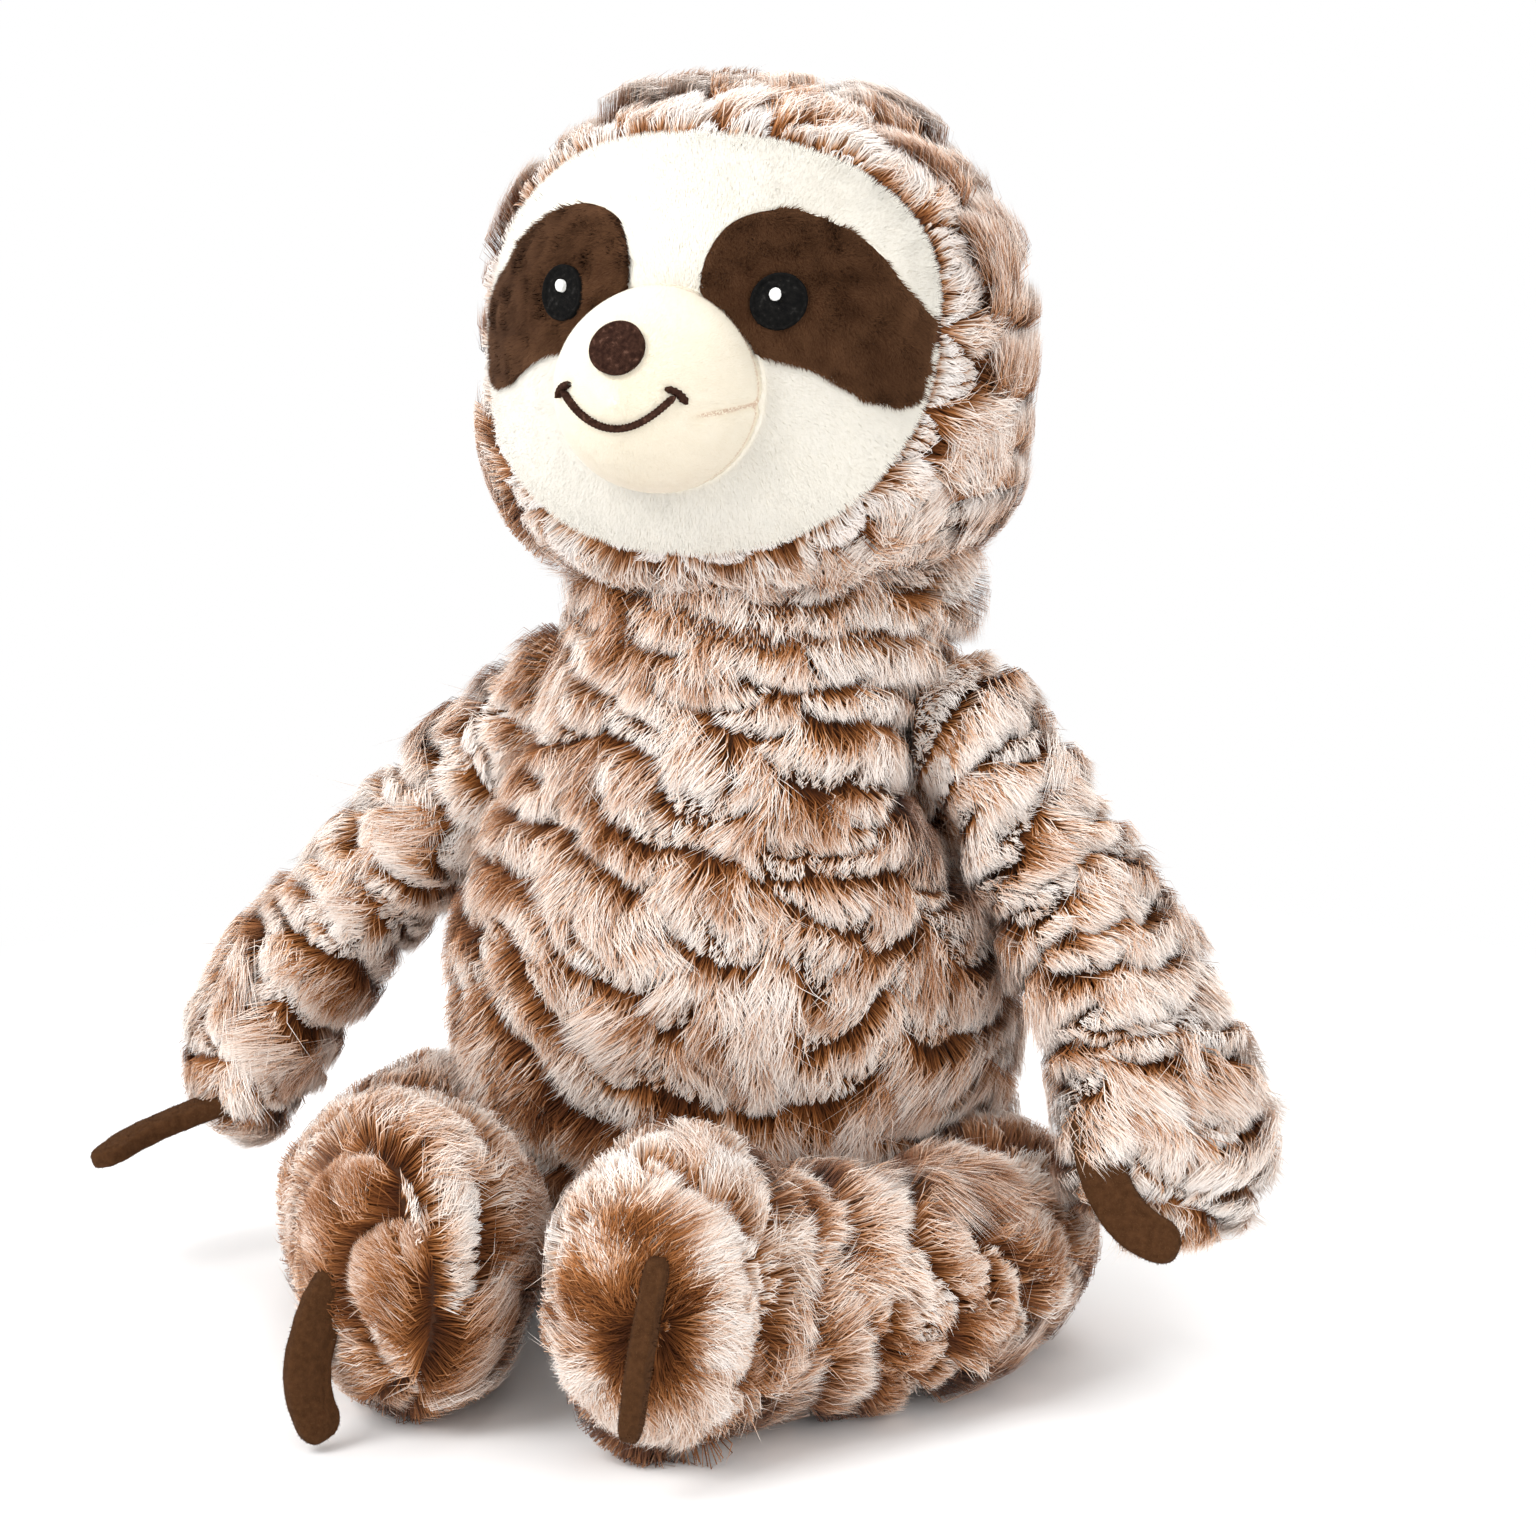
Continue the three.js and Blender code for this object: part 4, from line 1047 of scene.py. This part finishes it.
# Places on a leg within its sole or beyond it, with a ragged edge between
def by_sole(name, inside):
    skin = skins[name]
    tree = Shell(skin.co, skin.normal).tree

    def only(co):
        along = skin.along[[tree.find(p)[1] for p in co]] + 3 * noise(co, 10, 99)
        return (along < SOLE) == inside
    return only


# A leg's pile stops inside the body, and is thin where the leg rests on the ground
def leg_keep(skin):
    sunk = shells["body"].outside(skin.co)[0] < -6
    return np.where(sunk, 0.0, np.where(skin.co[:, 2] < 3, 0.3, 1.0))


ARM_PILE = {
    "left": dict(pitch=10.8, width=10.5, pale=0.3),
    "right": dict(pitch=12.4, width=12.0, pale=0.06),
}
SOLE_PILE = {
    "left": dict(pitch=29.0, width=13.0, adjust=left_sole),
    "right": dict(pitch=22.0, width=42.0, adjust=right_sole, relay=fan),
}
LEG_PILE = {
    "left": dict(pitch=15.5, width=14.0, curl=0.6, uneven=0.7, pale=-0.16),
    "right": dict(pitch=18.0, width=20.0, curl=0.4, uneven=0.5),
}
for word, side in SIDES:
    arm, leg, other = f"{word}_arm", f"{word}_leg", "right_leg" if side > 0 else "left_leg"
    shag(
        f"{arm}_pile", arm, 66000,
        lambda skin: np.where(side * skin.co[:, 0] < SHOULDER[0] + 1.5, 0.0, 1.0), 41 + side,
        arm, ("body",), lock=2.6, wave=6.0, curl=0.7, high=7.0, uneven=0.8,
        adjust=arm_fill(side), **ARM_PILE[word])
    shag(
        f"{leg}_sole_pile", leg, 22000, lambda skin: leg_keep(skin) * (skin.along < SOLE + 4),
        61 + side, leg, (other,), lock=2.6, wave=2.5, curl=0.5, high=6.4, uneven=0.06,
        pale=0.05, only=by_sole(leg, True), **SOLE_PILE[word])
    for part in (1, 2):
        shag(
            f"{leg}_pile_{part}", leg, 42000,
            lambda skin: leg_keep(skin) * (skin.along > SOLE - 4), 51 + side, leg,
            ("body", other), wave=8.0, high=7.4, phase=SOLE - 2, adjust=leg_fill,
            only=by_sole(leg, False), **LEG_PILE[word])

# The face's cloth lies on the stuffed head
hood_tree = BVHTree.FromPolygons(
    [tuple(p) for p in hood.co], [tuple(int(i) for i in t) for t in hood.tris])


# Lays points of the front view on the head, at a height above it, with their normals
def on_head(flat, lift, again=True):
    if again and lift > 0.8:
        _, out = on_head(flat, 0.0, False)
        flat = flat - out[:, [0, 2]] * lift
    co, normal = np.empty((len(flat), 3)), np.empty((len(flat), 3))
    for i, (x, z) in enumerate(flat):
        start = Vector((x, -200.0, z + HEAD_Z))
        spot, _, index, _ = hood_tree.ray_cast(start, Vector((0, 1, 0)))
        if spot is None:
            spot, _, index, _ = hood_tree.find_nearest(Vector((x, -30.0, z + HEAD_Z)))
        corners = hood.tris[index]
        w = 1 / (np.linalg.norm(hood.co[corners] - np.array(spot), axis=1) + 1e-3)
        normal[i] = unit((hood.normal[corners] * w[:, None]).sum(0) / w.sum())
        co[i] = np.array(spot) + normal[i] * lift
    return co, normal


# Fills an outline with even triangles
def fill_outline(outline, step):
    low, high = outline.min(0), outline.max(0)
    xs, zs = np.arange(low[0], high[0], step), np.arange(low[1], high[1], step)
    within = np.stack(np.meshgrid(xs, zs), -1).reshape(-1, 2)
    within += rng.uniform(-0.2, 0.2, within.shape) * step
    within = within[inside_outline(within, outline)]
    gap = np.array([np.min(np.hypot(*(outline - p).T)) for p in within])
    within = within[gap > step * 0.45]
    count = len(outline)
    edges = [(i, (i + 1) % count) for i in range(count)]
    spots = [Vector(tuple(p)) for p in np.vstack([outline, within])]
    verts, _, tris, *_ = delaunay_2d_cdt(spots, edges, [], 0, 1e-5)
    verts = np.array([tuple(v) for v in verts])
    tris = np.array([t for t in tris if len(t) == 3])
    return verts, tris[inside_outline(verts[tris].mean(1), outline)]


# A flat-cut piece of face cloth, laid on the head
class Panel:
    def __init__(self, name, outline, lift, step, material, node, slot):
        flat, tris = fill_outline(outline, step)
        self.co, self.normal = on_head(flat, lift)
        facing = dot(face_normals(self.co, tris), self.normal[tris[:, 0]])
        tris[facing < 0] = tris[facing < 0][:, ::-1]
        self.tris, self.name = tris, name
        obj = make_mesh(name, self.co, tris, material)
        thicken(obj, 0.001)
        declare(obj, "head", node)


# Short pile: one fine spike a strand
def fuzz(name, co, normal, lead, height, width, tone, shade, material, body):
    count = len(co)
    way = unit(normal + lead)
    side = unit(np.cross(way, normal) + rng.normal(0, 0.12, (count, 3)))
    w = side * (width * 0.5)
    points = np.stack([co - w, co + w, co + way * height[:, None]], 1)
    points[:, :, 2] = np.maximum(points[:, :, 2], 0.2)
    ones = np.stack([normal, normal, unit(normal + lead * 0.1)], 1)
    tris = np.arange(count * 3).reshape(-1, 3)
    obj = strand_mesh(name, points, tris, ones, tone, shade, material)
    declare(obj, body)


# Three noises as a direction
def drift_at(points, size, seed):
    return np.stack([noise(points, size, seed + k) for k in range(3)], 1)


# The hood's cloth turns in under its lower edge, round the neck. It follows the neck's ball,
# wider above, and closes the gap behind the neck as the head nods
def neck_fold():
    rings, sides, low_radius, more = 18, 96, 51, 4.3
    up = np.linspace(11, 46, rings)[:, None]
    spread = np.clip((up - 26) / 9, 0, 1)
    radius = low_radius + more * spread * spread * (3 - 2 * spread)
    angle = np.linspace(0, 2 * np.pi, sides, endpoint=False)[None]
    flat = np.sqrt(radius**2 - up**2)
    out = np.stack([flat * np.cos(angle), flat * np.sin(angle), up * np.ones_like(angle)], -1)
    out = out.reshape(-1, 3)
    tris = np.vstack([t for ring in range(rings - 1) for t in ring_faces(ring * sides, sides)])
    fold = make_mesh("hood_neck_fold", NECK + out, tris, BACKING)
    thicken(fold, 0.0008)
    declare(fold, "head", "head_plush")
    p, away = scatter(NECK + out, tris, unit(out), strands(16000))
    lead = np.array([0, 0, -2.0]) + rng.normal(0, 0.3, p.shape)
    height = 1.5 + rng.random(len(p))
    tone = 0.5 + 0.3 * noise(p, 9, 110) + rng.normal(0, 0.12, len(p))
    shade = np.array([0.25, 0.25, 0.9]) + rng.normal(0, 0.08, (len(p), 1))
    fuzz("hood_neck_pile", p, away, lead, height, 0.34, tone, shade, SHAG, "head")


neck_fold()


# An eye patch's outline in front view, from its corners
def patch_outline(side):
    corners = [(side * (9 + o * 53), 5.8 + u * 22.8, 0.0) for o, u in PATCH]
    fine, run = curve_through(corners, closed=True)
    at = np.linspace(0, run[-1], 90, endpoint=False)
    return np.stack([np.interp(at, run, fine[:, k]) for k in (0, 1)], 1)


MUZZLE_C = np.array([0.0, -49.0, HEAD_Z - 13.0])
MUZZLE_R = np.array([24.0, 33.2, 24.2])
MUZZLE_BLUNT = 2.6
SEAM_RISE = -2.5


# Keeps an outline's points inside the face
def within_face(points):
    out = points.copy()
    for i in range(len(points)):
        while not inside_outline(out[i : i + 1], face_line)[0]:
            out[i] = out[i] * 0.992
    return out


# The face's part above or below the seam that runs across it
def half_face(above):
    oval, line_points = face_oval(200), 60
    ring = oval[(oval[:, 1] > SEAM_RISE) == above]
    rise = ring[:, 1] - SEAM_RISE
    ring = ring[np.argsort(np.arctan2(rise if above else -rise, ring[:, 0]))]
    line = np.linspace(ring[-1, 0], ring[0, 0], line_points)[1:-1]
    return np.vstack([ring, np.stack([line, np.full(len(line), SEAM_RISE)], 1)])


# Where the muzzle covers the face
def under_muzzle(co):
    return ((co[:, 0] / 25.0) ** 2 + ((co[:, 2] - MUZZLE_C[2]) / 24.3) ** 2) < 1


cream = [
    Panel(
        f"{name}_cloth", half_face(above), 1.4, 2.2, FACE_BACKING, f"{name}_panel", "cream_pile")
    for name, above in (("forehead", True), ("cheek", False))]
patches = {}
for word, side in SIDES:
    outline = within_face(patch_outline(side))
    patches[word] = (outline, Panel(
        f"{word}_patch_cloth", outline, 1.8, 1.5, PATCH_BACKING, f"{word}_eye_patch",
        "brown_pile"))

for panel in cream:
    co, normal = scatter(panel.co, panel.tris, panel.normal, strands(110000))
    flat = co[:, [0, 2]] - (0, HEAD_Z)
    free = ~under_muzzle(co)
    for outline, _ in patches.values():
        free &= ~inside_outline(flat, outline)
    co, normal, flat = co[free], normal[free], flat[free]
    rim = off_face(co)
    outward = unit(np.stack([flat[:, 0] / FACE_WIDE, 0 * rim, flat[:, 1] / FACE_LOW], 1))
    lead = drift_at(co, 3.2, 70) * 0.25 + drift_at(co, 22, 73) * 0.5 + outward * 1.4
    lead += rng.normal(0, 0.16, co.shape)
    lead -= normal * dot(lead, normal)[:, None]
    height = 1.35 + 0.2 * noise(co, 5, 76) + 0.3 * rng.random(len(co))
    height += 1.2 * np.clip((rim + 3) / 3, 0, 1)
    tone = 0.6 + 0.22 * noise(co, 6, 77) + rng.normal(0, 0.08, len(co))
    fuzz(
        panel.name.replace("cloth", "pile"), co, normal, lead, height, 0.26, tone,
        (0.4, 0.4, 1.0), CREAM, "head")

for word, side in SIDES:
    outline, patch = patches[word]
    co, normal = scatter(patch.co, patch.tris, patch.normal, strands(54000))
    free = ~under_muzzle(co)
    co, normal = co[free], normal[free]
    eye = np.hypot(co[:, 0] - side * 28, co[:, 2] - HEAD_Z - 9)
    lead = drift_at(co, 3.5, 80) * 0.8 + np.array([side * 0.4, 0, -0.9])
    lead += rng.normal(0, 0.35, co.shape)
    lead -= normal * dot(lead, normal)[:, None]
    height = 2.2 + 0.5 * noise(co, 5, 83) + 0.7 * rng.random(len(co))
    height *= np.clip((eye - 4) / 4.5, 0.15, 1)
    edge = np.array([np.min(np.hypot(*(outline - (p[0], p[2] - HEAD_Z)).T)) for p in co])
    tone = 0.38 + 0.28 * noise(co, 4, 84) + rng.normal(0, 0.14, len(co))
    tone += 0.45 * np.exp(-edge / 1.2)
    fuzz(
        f"{word}_patch_pile", co, normal, lead, height, 0.32, tone, (0.2, 0.2, 1.0), BROWN,
        "head")


# The muzzle's dart, a short crease at its left side, by direction from the muzzle's middle
def dart_at(d):
    dart = np.exp(-((d[..., 2] + 0.2 - 0.1 * d[..., 0]) / 0.035) ** 2)
    return dart * np.clip((d[..., 0] - 0.6) / 0.12, 0, 1)


# The muzzle's dome, from its tip back to the face, with the seam and the dart pressed in
def muzzle():
    rings, sides = 40, 96
    polar = np.linspace(0, math.radians(118), rings)[:, None]
    angle = np.linspace(0, 2 * np.pi, sides, endpoint=False)[None]
    d = np.stack([
        np.sin(polar) * np.cos(angle), -np.cos(polar) * np.ones_like(angle),
        np.sin(polar) * np.sin(angle)], -1)
    wide = np.hypot(d[..., 0], d[..., 2])
    size = (wide**MUZZLE_BLUNT + np.abs(d[..., 1]) ** MUZZLE_BLUNT) ** (-1 / MUZZLE_BLUNT)
    co = MUZZLE_C + d * size[..., None] * MUZZLE_R
    co -= d * (dart_at(d) * 1.1)[..., None]
    co, tris = dome_mesh(co.reshape(-1, 3), rings, sides)
    obj = make_mesh("muzzle_cloth", co, tris, MUZZLE_CLOTH)
    declare(obj, "head", "muzzle")
    p, normal = scatter(co, tris, vertex_normals(co, tris), strands(110000))
    keep = p[:, 1] < -44
    p, normal = p[keep], normal[keep]
    outward = unit((p - MUZZLE_C) * (1, 0, 1))
    lead = outward * 1.3 + np.array([0, 1.4, 0]) + drift_at(p, 16, 91) * 0.5
    lead += rng.normal(0, 0.16, p.shape)
    lead -= normal * dot(lead, normal)[:, None]
    above = np.array([hood_tree.find_nearest(Vector(spot))[3] for spot in p])
    # Along the seam round the muzzle the pile lies lower and shows a pinker line; in the dart's
    # crease the darker colour is painted shade
    seam = np.exp(-((above - 3.2) / 0.9) ** 2)
    crease = np.clip(dart_at(unit((p - MUZZLE_C) / MUZZLE_R)) * 1.2, 0, 1)
    seam_line_and_crease_shade = np.clip(seam + crease, 0, 1)
    height = (0.7 + 0.3 * rng.random(len(p))) * (1 - 0.6 * seam_line_and_crease_shade)
    tone = 0.6 + 0.2 * noise(p, 3, 94) + rng.normal(0, 0.08, len(p)) - 0.4 * seam_line_and_crease_shade
    shade = np.array([0.5, 0.5, 1.0]) * (1 - 0.85 * seam_line_and_crease_shade)[:, None]
    fuzz("muzzle_pile", p, normal, lead, height, 0.24, tone, shade, VELOUR, "head")


muzzle()


# Lays points of the front view on the muzzle, at a height above it, with their normals
def on_muzzle(flat, lift):
    x, z = flat[:, 0], flat[:, 1] + HEAD_Z - MUZZLE_C[2]
    wide = np.maximum(np.hypot(x / MUZZLE_R[0], z / MUZZLE_R[2]), 1e-4)
    deep = np.maximum(1 - wide**MUZZLE_BLUNT, 1e-4) ** (1 / MUZZLE_BLUNT)
    co = np.stack([x, MUZZLE_C[1] - MUZZLE_R[1] * deep, flat[:, 1] + HEAD_Z], 1)
    lean = wide ** (MUZZLE_BLUNT - 2)
    front = -(deep ** (MUZZLE_BLUNT - 1)) / MUZZLE_R[1]
    normal = unit(np.stack([lean * x / MUZZLE_R[0] ** 2, front, lean * z / MUZZLE_R[2] ** 2], 1))
    return co + normal * lift, normal


# A round of thread: a middle of parallel satin stitches and a rim of stitches across its edge
def thread_round(
    name, node, place, centre, half_x, half_z, lift, crown, pitch, rim, material,
):
    rings, sides = 26, 144
    share = np.linspace(0, 1, rings)[:, None]
    angle = np.linspace(0, 2 * np.pi, sides, endpoint=False)[None]
    x = centre[0] + share * np.cos(angle) * half_x
    z = centre[1] + share * np.sin(angle) * half_z
    flat = np.stack([x, z], -1).reshape(-1, 2)
    s = np.repeat(share, sides, 1).reshape(-1)
    a = np.repeat(angle, rings, 0).reshape(-1)
    inner = np.abs(np.sin(np.pi * (flat[:, 0] * 0.5 + flat[:, 1] * 0.86) / pitch)) * 0.12
    outer = np.abs(np.sin(a * np.pi * (half_x + half_z) / pitch / 2)) * 0.14
    on_rim = s > 1 - rim
    height = np.where(on_rim, outer + crown * 0.45, inner)
    half_rim = rim / 2
    round_rim = np.sqrt(np.clip(1 - ((s - 1 + half_rim) / half_rim) ** 2, 0, 1)) * 0.35
    height = height + np.where(on_rim, round_rim, 0)
    height = height + crown * (1 - s**4) * 0.6 + rng.uniform(0, 0.03, len(s))
    co, normal = place(flat, lift)
    co = co + normal * height[:, None]
    last = s > 0.999
    co[last] -= normal[last] * 1.6
    co, tris = dome_mesh(co, rings, sides)
    declare(make_mesh(name, co, tris, material), "head", node)


for word, side in SIDES:
    thread_round(
        f"{word}_eye_thread", f"{word}_eye", on_head, (side * 27.6, 8), half_x=6.4, half_z=6.7,
        lift=2.9, crown=0.8, pitch=0.55, rim=0.16, material=BLACK_THREAD)
    thread_round(
        f"{word}_glint_thread", f"{word}_eye_glint", on_head, (side * 27.6 - 0.3, 9.8),
        half_x=1.35, half_z=1.5, lift=4.0, crown=0.3, pitch=0.5, rim=0.5,
        material=WHITE_THREAD)
thread_round(
    "nose_thread", "nose_embroidery", on_muzzle, (0, -1.6), half_x=6.6, half_z=5.6, lift=1.1,
    crown=0.5, pitch=0.5, rim=0.2, material=DARK_THREAD)


# The smile is one satin band and two short ones across its ends
def smile():
    corner, low, dip = 13.6, -11.6, 7.6
    share = np.linspace(-1, 1, 150)
    lines = [np.stack([share * corner, low - dip * (1 - share**2)], 1)]
    for _, side in SIDES:
        t = np.linspace(-0.5, 0.5, 40)
        bow = (0.25 - t**2) * 2.5
        lines.append(np.stack([side * (corner + t * 4.0 + bow), low - t * 3.5 + bow], 1))
    cos, faces, start = [], [], 0
    profile = np.linspace(-1, 1, 7)
    for line in lines:
        step = np.gradient(line, axis=0)
        across = unit(np.stack([-step[:, 1], step[:, 0]], 1))
        run = np.concatenate([[0], np.cumsum(np.linalg.norm(np.diff(line, axis=0), axis=1))])
        ends = np.clip(np.minimum(run, run[-1] - run) / 0.8, 0.15, 1) ** 0.5
        jag = 1 + 0.12 * np.sin(run * 2 * np.pi / 0.9)
        width = 0.82 * ends * jag
        flat = line[:, None] + across[:, None] * (profile[None, :, None] * width[:, None, None])
        co, normal = on_muzzle(flat.reshape(-1, 2), 1.0)
        ridge = 0.62 + 0.1 * np.abs(np.sin(run * np.pi / 0.45))[:, None]
        dome = np.sqrt(np.clip(1 - profile**2, 0, 1))[None] * ridge
        dome[:, [0, -1]] = -0.7
        n, m = len(line), len(profile)
        i, j = np.meshgrid(np.arange(n - 1), np.arange(m - 1), indexing="ij")
        a = (i * m + j).reshape(-1) + start
        faces += [np.stack([a, a + 1, a + m + 1], 1), np.stack([a, a + m + 1, a + m], 1)]
        cos.append(co + normal * dome.reshape(-1)[:, None])
        start += len(co)
    co, tris = np.vstack(cos), np.vstack(faces)
    if vertex_normals(co, tris)[3][1] > 0:
        tris = tris[:, ::-1]
    obj = make_mesh("smile_thread", co, tris, DARK_THREAD)
    declare(obj, "head", "smile_embroidery")


smile()


# Felt claws: flat crescents with squared edges, a stitched line near one edge, and loose fibres
def claw(name, side, limb):
    half_wide, half_deep, length, turn_in = 5.6, 2.8, 42.0, 1.45
    place, seat, leave, bend = CLAWS[name]
    form = FORMS[limb]
    to = lambda v: unit(np.array([side * v[0], -v[1], v[2]], float))
    start, hook = to(leave), to(bend)
    flat = unit(np.cross(start, hook))
    hook = unit(np.cross(flat, start))
    spot, _ = form.spine(np.array([place * form.length]))
    wide = form.half(np.array([place]))[0][0]
    root = spot[0] + np.array([side * seat[0], -seat[1], seat[2]]) * wide
    root += (3.0, 0, -1.5) if name == "right_foot" else (0, 0, 0)
    spots = [root]
    for step in range(10):
        angle = turn_in * (step / 10) ** 1.6
        way = start * math.cos(angle) + hook * math.sin(angle)
        spots.append(spots[-1] + way * (length / 10))
    even = lambda p: (half_wide + 0 * p, half_deep + 0 * p)
    shape = Form(spots, even, flat, half_wide, half_wide)
    rings, sides = 60, 40
    share = (1 - np.cos(np.pi * np.arange(rings + 1) / rings)) / 2
    along = share * shape.length
    centre, tangent = shape.spine(along)
    across = unit(np.cross(flat, tangent))
    front = np.cross(tangent, across)
    full = fullness(along, half_wide) * fullness(shape.length - along, half_wide)
    angle = 2 * np.pi * np.arange(sides) / sides
    c, s = np.cos(angle), np.sin(angle)
    x = np.sign(c) * np.abs(c) ** 0.75
    y = np.sign(s) * np.abs(s) ** 0.55
    seam = np.exp(-((x - 0.5) / 0.06) ** 2)
    edge = np.exp(-((np.abs(x) - 1.0) / 0.06) ** 2) * 0.35
    deep = half_deep * full[:, None] ** 0.6
    beside = ((x - np.sign(x) * edge * 0.1) * half_wide)[None, :, None] * full[:, None, None]
    above = (y[None] * (deep - seam[None] * np.minimum(deep, 1)))[..., None]
    co = flat_grid(centre[:, None] + across[:, None] * beside + front[:, None] * above)
    tris = grid_faces(rings, sides)
    lumps = 0.14 * noise(co, 2.2, 61) + 0.3 * noise(co, 9, 62)
    co += vertex_normals(co, tris) * lumps[:, None]
    obj = make_mesh(f"{name}_felt", co, tris, FELT)
    declare(obj, limb, f"{name}_claw")
    p, n = scatter(co, tris, vertex_normals(co, tris), strands(7000))
    lead = rng.normal(0, 0.9, p.shape)
    height = 0.25 + 0.6 * rng.random(len(p)) ** 2
    fuzz(
        f"{name}_felt_fuzz", p, n, lead, height, 0.16, rng.random(len(p)), (0.3, 0.3, 0.9),
        FELT_FUZZ, limb)


for word, side in SIDES:
    claw(f"{word}_hand", side, f"{word}_arm")
    claw(f"{word}_foot", side, f"{word}_leg")


# The fillings and the pellet pouch stay as the solids, with their own cloth's look
stuffings = ["body_stuffing", "head_stuffing", "neck_stuffing", "pellet_pouch"]
stuffings += [f"{word}_{limb}_stuffing" for word, _ in SIDES for limb in ("arm", "leg")]
for node in stuffings:
    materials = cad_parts[node].data.materials
    materials.clear()
    materials.append(POUCH if node == "pellet_pouch" else FILLING)


# A pale floor that holds the toy's shadow and runs out into plain white
def stage_floor():
    half, shadow_reach, white_from = 6.0, 0.22, 0.42
    me = bpy.data.meshes.new("floor")
    corners = [(-half, -half, 0), (half, -half, 0), (half, half, 0), (-half, half, 0)]
    me.from_pydata(corners, [], [(0, 1, 2, 3)])
    n = Nodes("floor_pale")
    n.shader.inputs["Base Color"].default_value = (0.93, 0.93, 0.93, 1)
    n.shader.inputs["Roughness"].default_value = 1.0
    n.shader.inputs["Specular IOR Level"].default_value = 0.0
    away = n.add("ShaderNodeVectorMath", operation="LENGTH")
    n.link(n.add("ShaderNodeTexCoord").outputs["Object"], away.inputs[0])
    reach = n.add("ShaderNodeMapRange", interpolation_type="SMOOTHSTEP")
    reach.inputs["From Min"].default_value = shadow_reach
    reach.inputs["From Max"].default_value = white_from
    n.link(away.outputs["Value"], reach.inputs["Value"])
    seen = n.add("ShaderNodeMath", operation="MULTIPLY")
    n.link(reach.outputs["Result"], seen.inputs[0])
    n.link(n.add("ShaderNodeLightPath").outputs["Is Camera Ray"], seen.inputs[1])
    glow = n.add("ShaderNodeEmission")
    both = n.add("ShaderNodeMixShader")
    for source, socket in zip((seen, n.shader, glow), both.inputs):
        n.link(source.outputs[0], socket)
    n.link(both.outputs[0], n.tree.nodes["Material Output"].inputs["Surface"])
    me.materials.append(n.mat)
    floor = bpy.data.objects.new("floor", me)
    scene.collection.objects.link(floor)


# An even sky, which the camera, mirrors and clear things see as plain white
def studio():
    world = bpy.data.worlds.new("studio")
    scene.world = world
    world.use_nodes = True
    nodes, link = world.node_tree.nodes, world.node_tree.links.new
    sky, seen = nodes["Background"], nodes.new("ShaderNodeBackground")
    sky.inputs["Color"].default_value = (1, 1, 1, 1)
    sky.inputs["Strength"].default_value = 0.95
    seen.inputs["Color"].default_value = (1, 1, 1, 1)
    path = nodes.new("ShaderNodeLightPath")
    rays = path.outputs["Is Camera Ray"]
    for kind in ("Is Glossy Ray", "Is Transmission Ray"):
        either = nodes.new("ShaderNodeMath")
        either.operation = "MAXIMUM"
        link(rays, either.inputs[0])
        link(path.outputs[kind], either.inputs[1])
        rays = either.outputs[0]
    mix = nodes.new("ShaderNodeMixShader")
    for source, socket in zip((rays, sky.outputs[0], seen.outputs[0]), mix.inputs):
        link(source, socket)
    link(mix.outputs[0], nodes["World Output"].inputs["Surface"])


def lamp(name, place, target, size, energy):
    data = bpy.data.lights.new(name, "AREA")
    data.size, data.energy = size, energy
    obj = bpy.data.objects.new(name, data)
    obj.location = place
    obj.rotation_euler = (Vector(target) - Vector(place)).to_track_quat("-Z", "Y").to_euler()
    scene.collection.objects.link(obj)


# The camera fitted to the photo: it looks down and stands to the toy's left
def add_camera():
    picture, focal, middle = 1536, 4067, 755
    around, down, height = math.radians(23), 12, 0.344
    cam = bpy.data.cameras.new("camera")
    cam.lens, cam.sensor_width = focal / picture * 36, 36
    camera = bpy.data.objects.new("camera", cam)
    turn = around - math.atan((picture / 2 - middle) / focal)
    camera.location = (math.sin(around), -math.cos(around), height)
    camera.rotation_euler = (math.radians(90 - down), 0, turn)
    scene.collection.objects.link(camera)
    scene.camera = camera
    scene.view_settings.view_transform = "Standard"


stage_floor()
studio()
lamp("key", (-0.6, -1.1, 1.2), (0, 0, 0.14), 0.8, 17)
lamp("fill", (1.3, -0.9, 0.7), (0, 0, 0.12), 1.2, 6)
lamp("top", (0.1, 0.5, 1.5), (0, 0, 0.15), 1.0, 8)
add_camera()
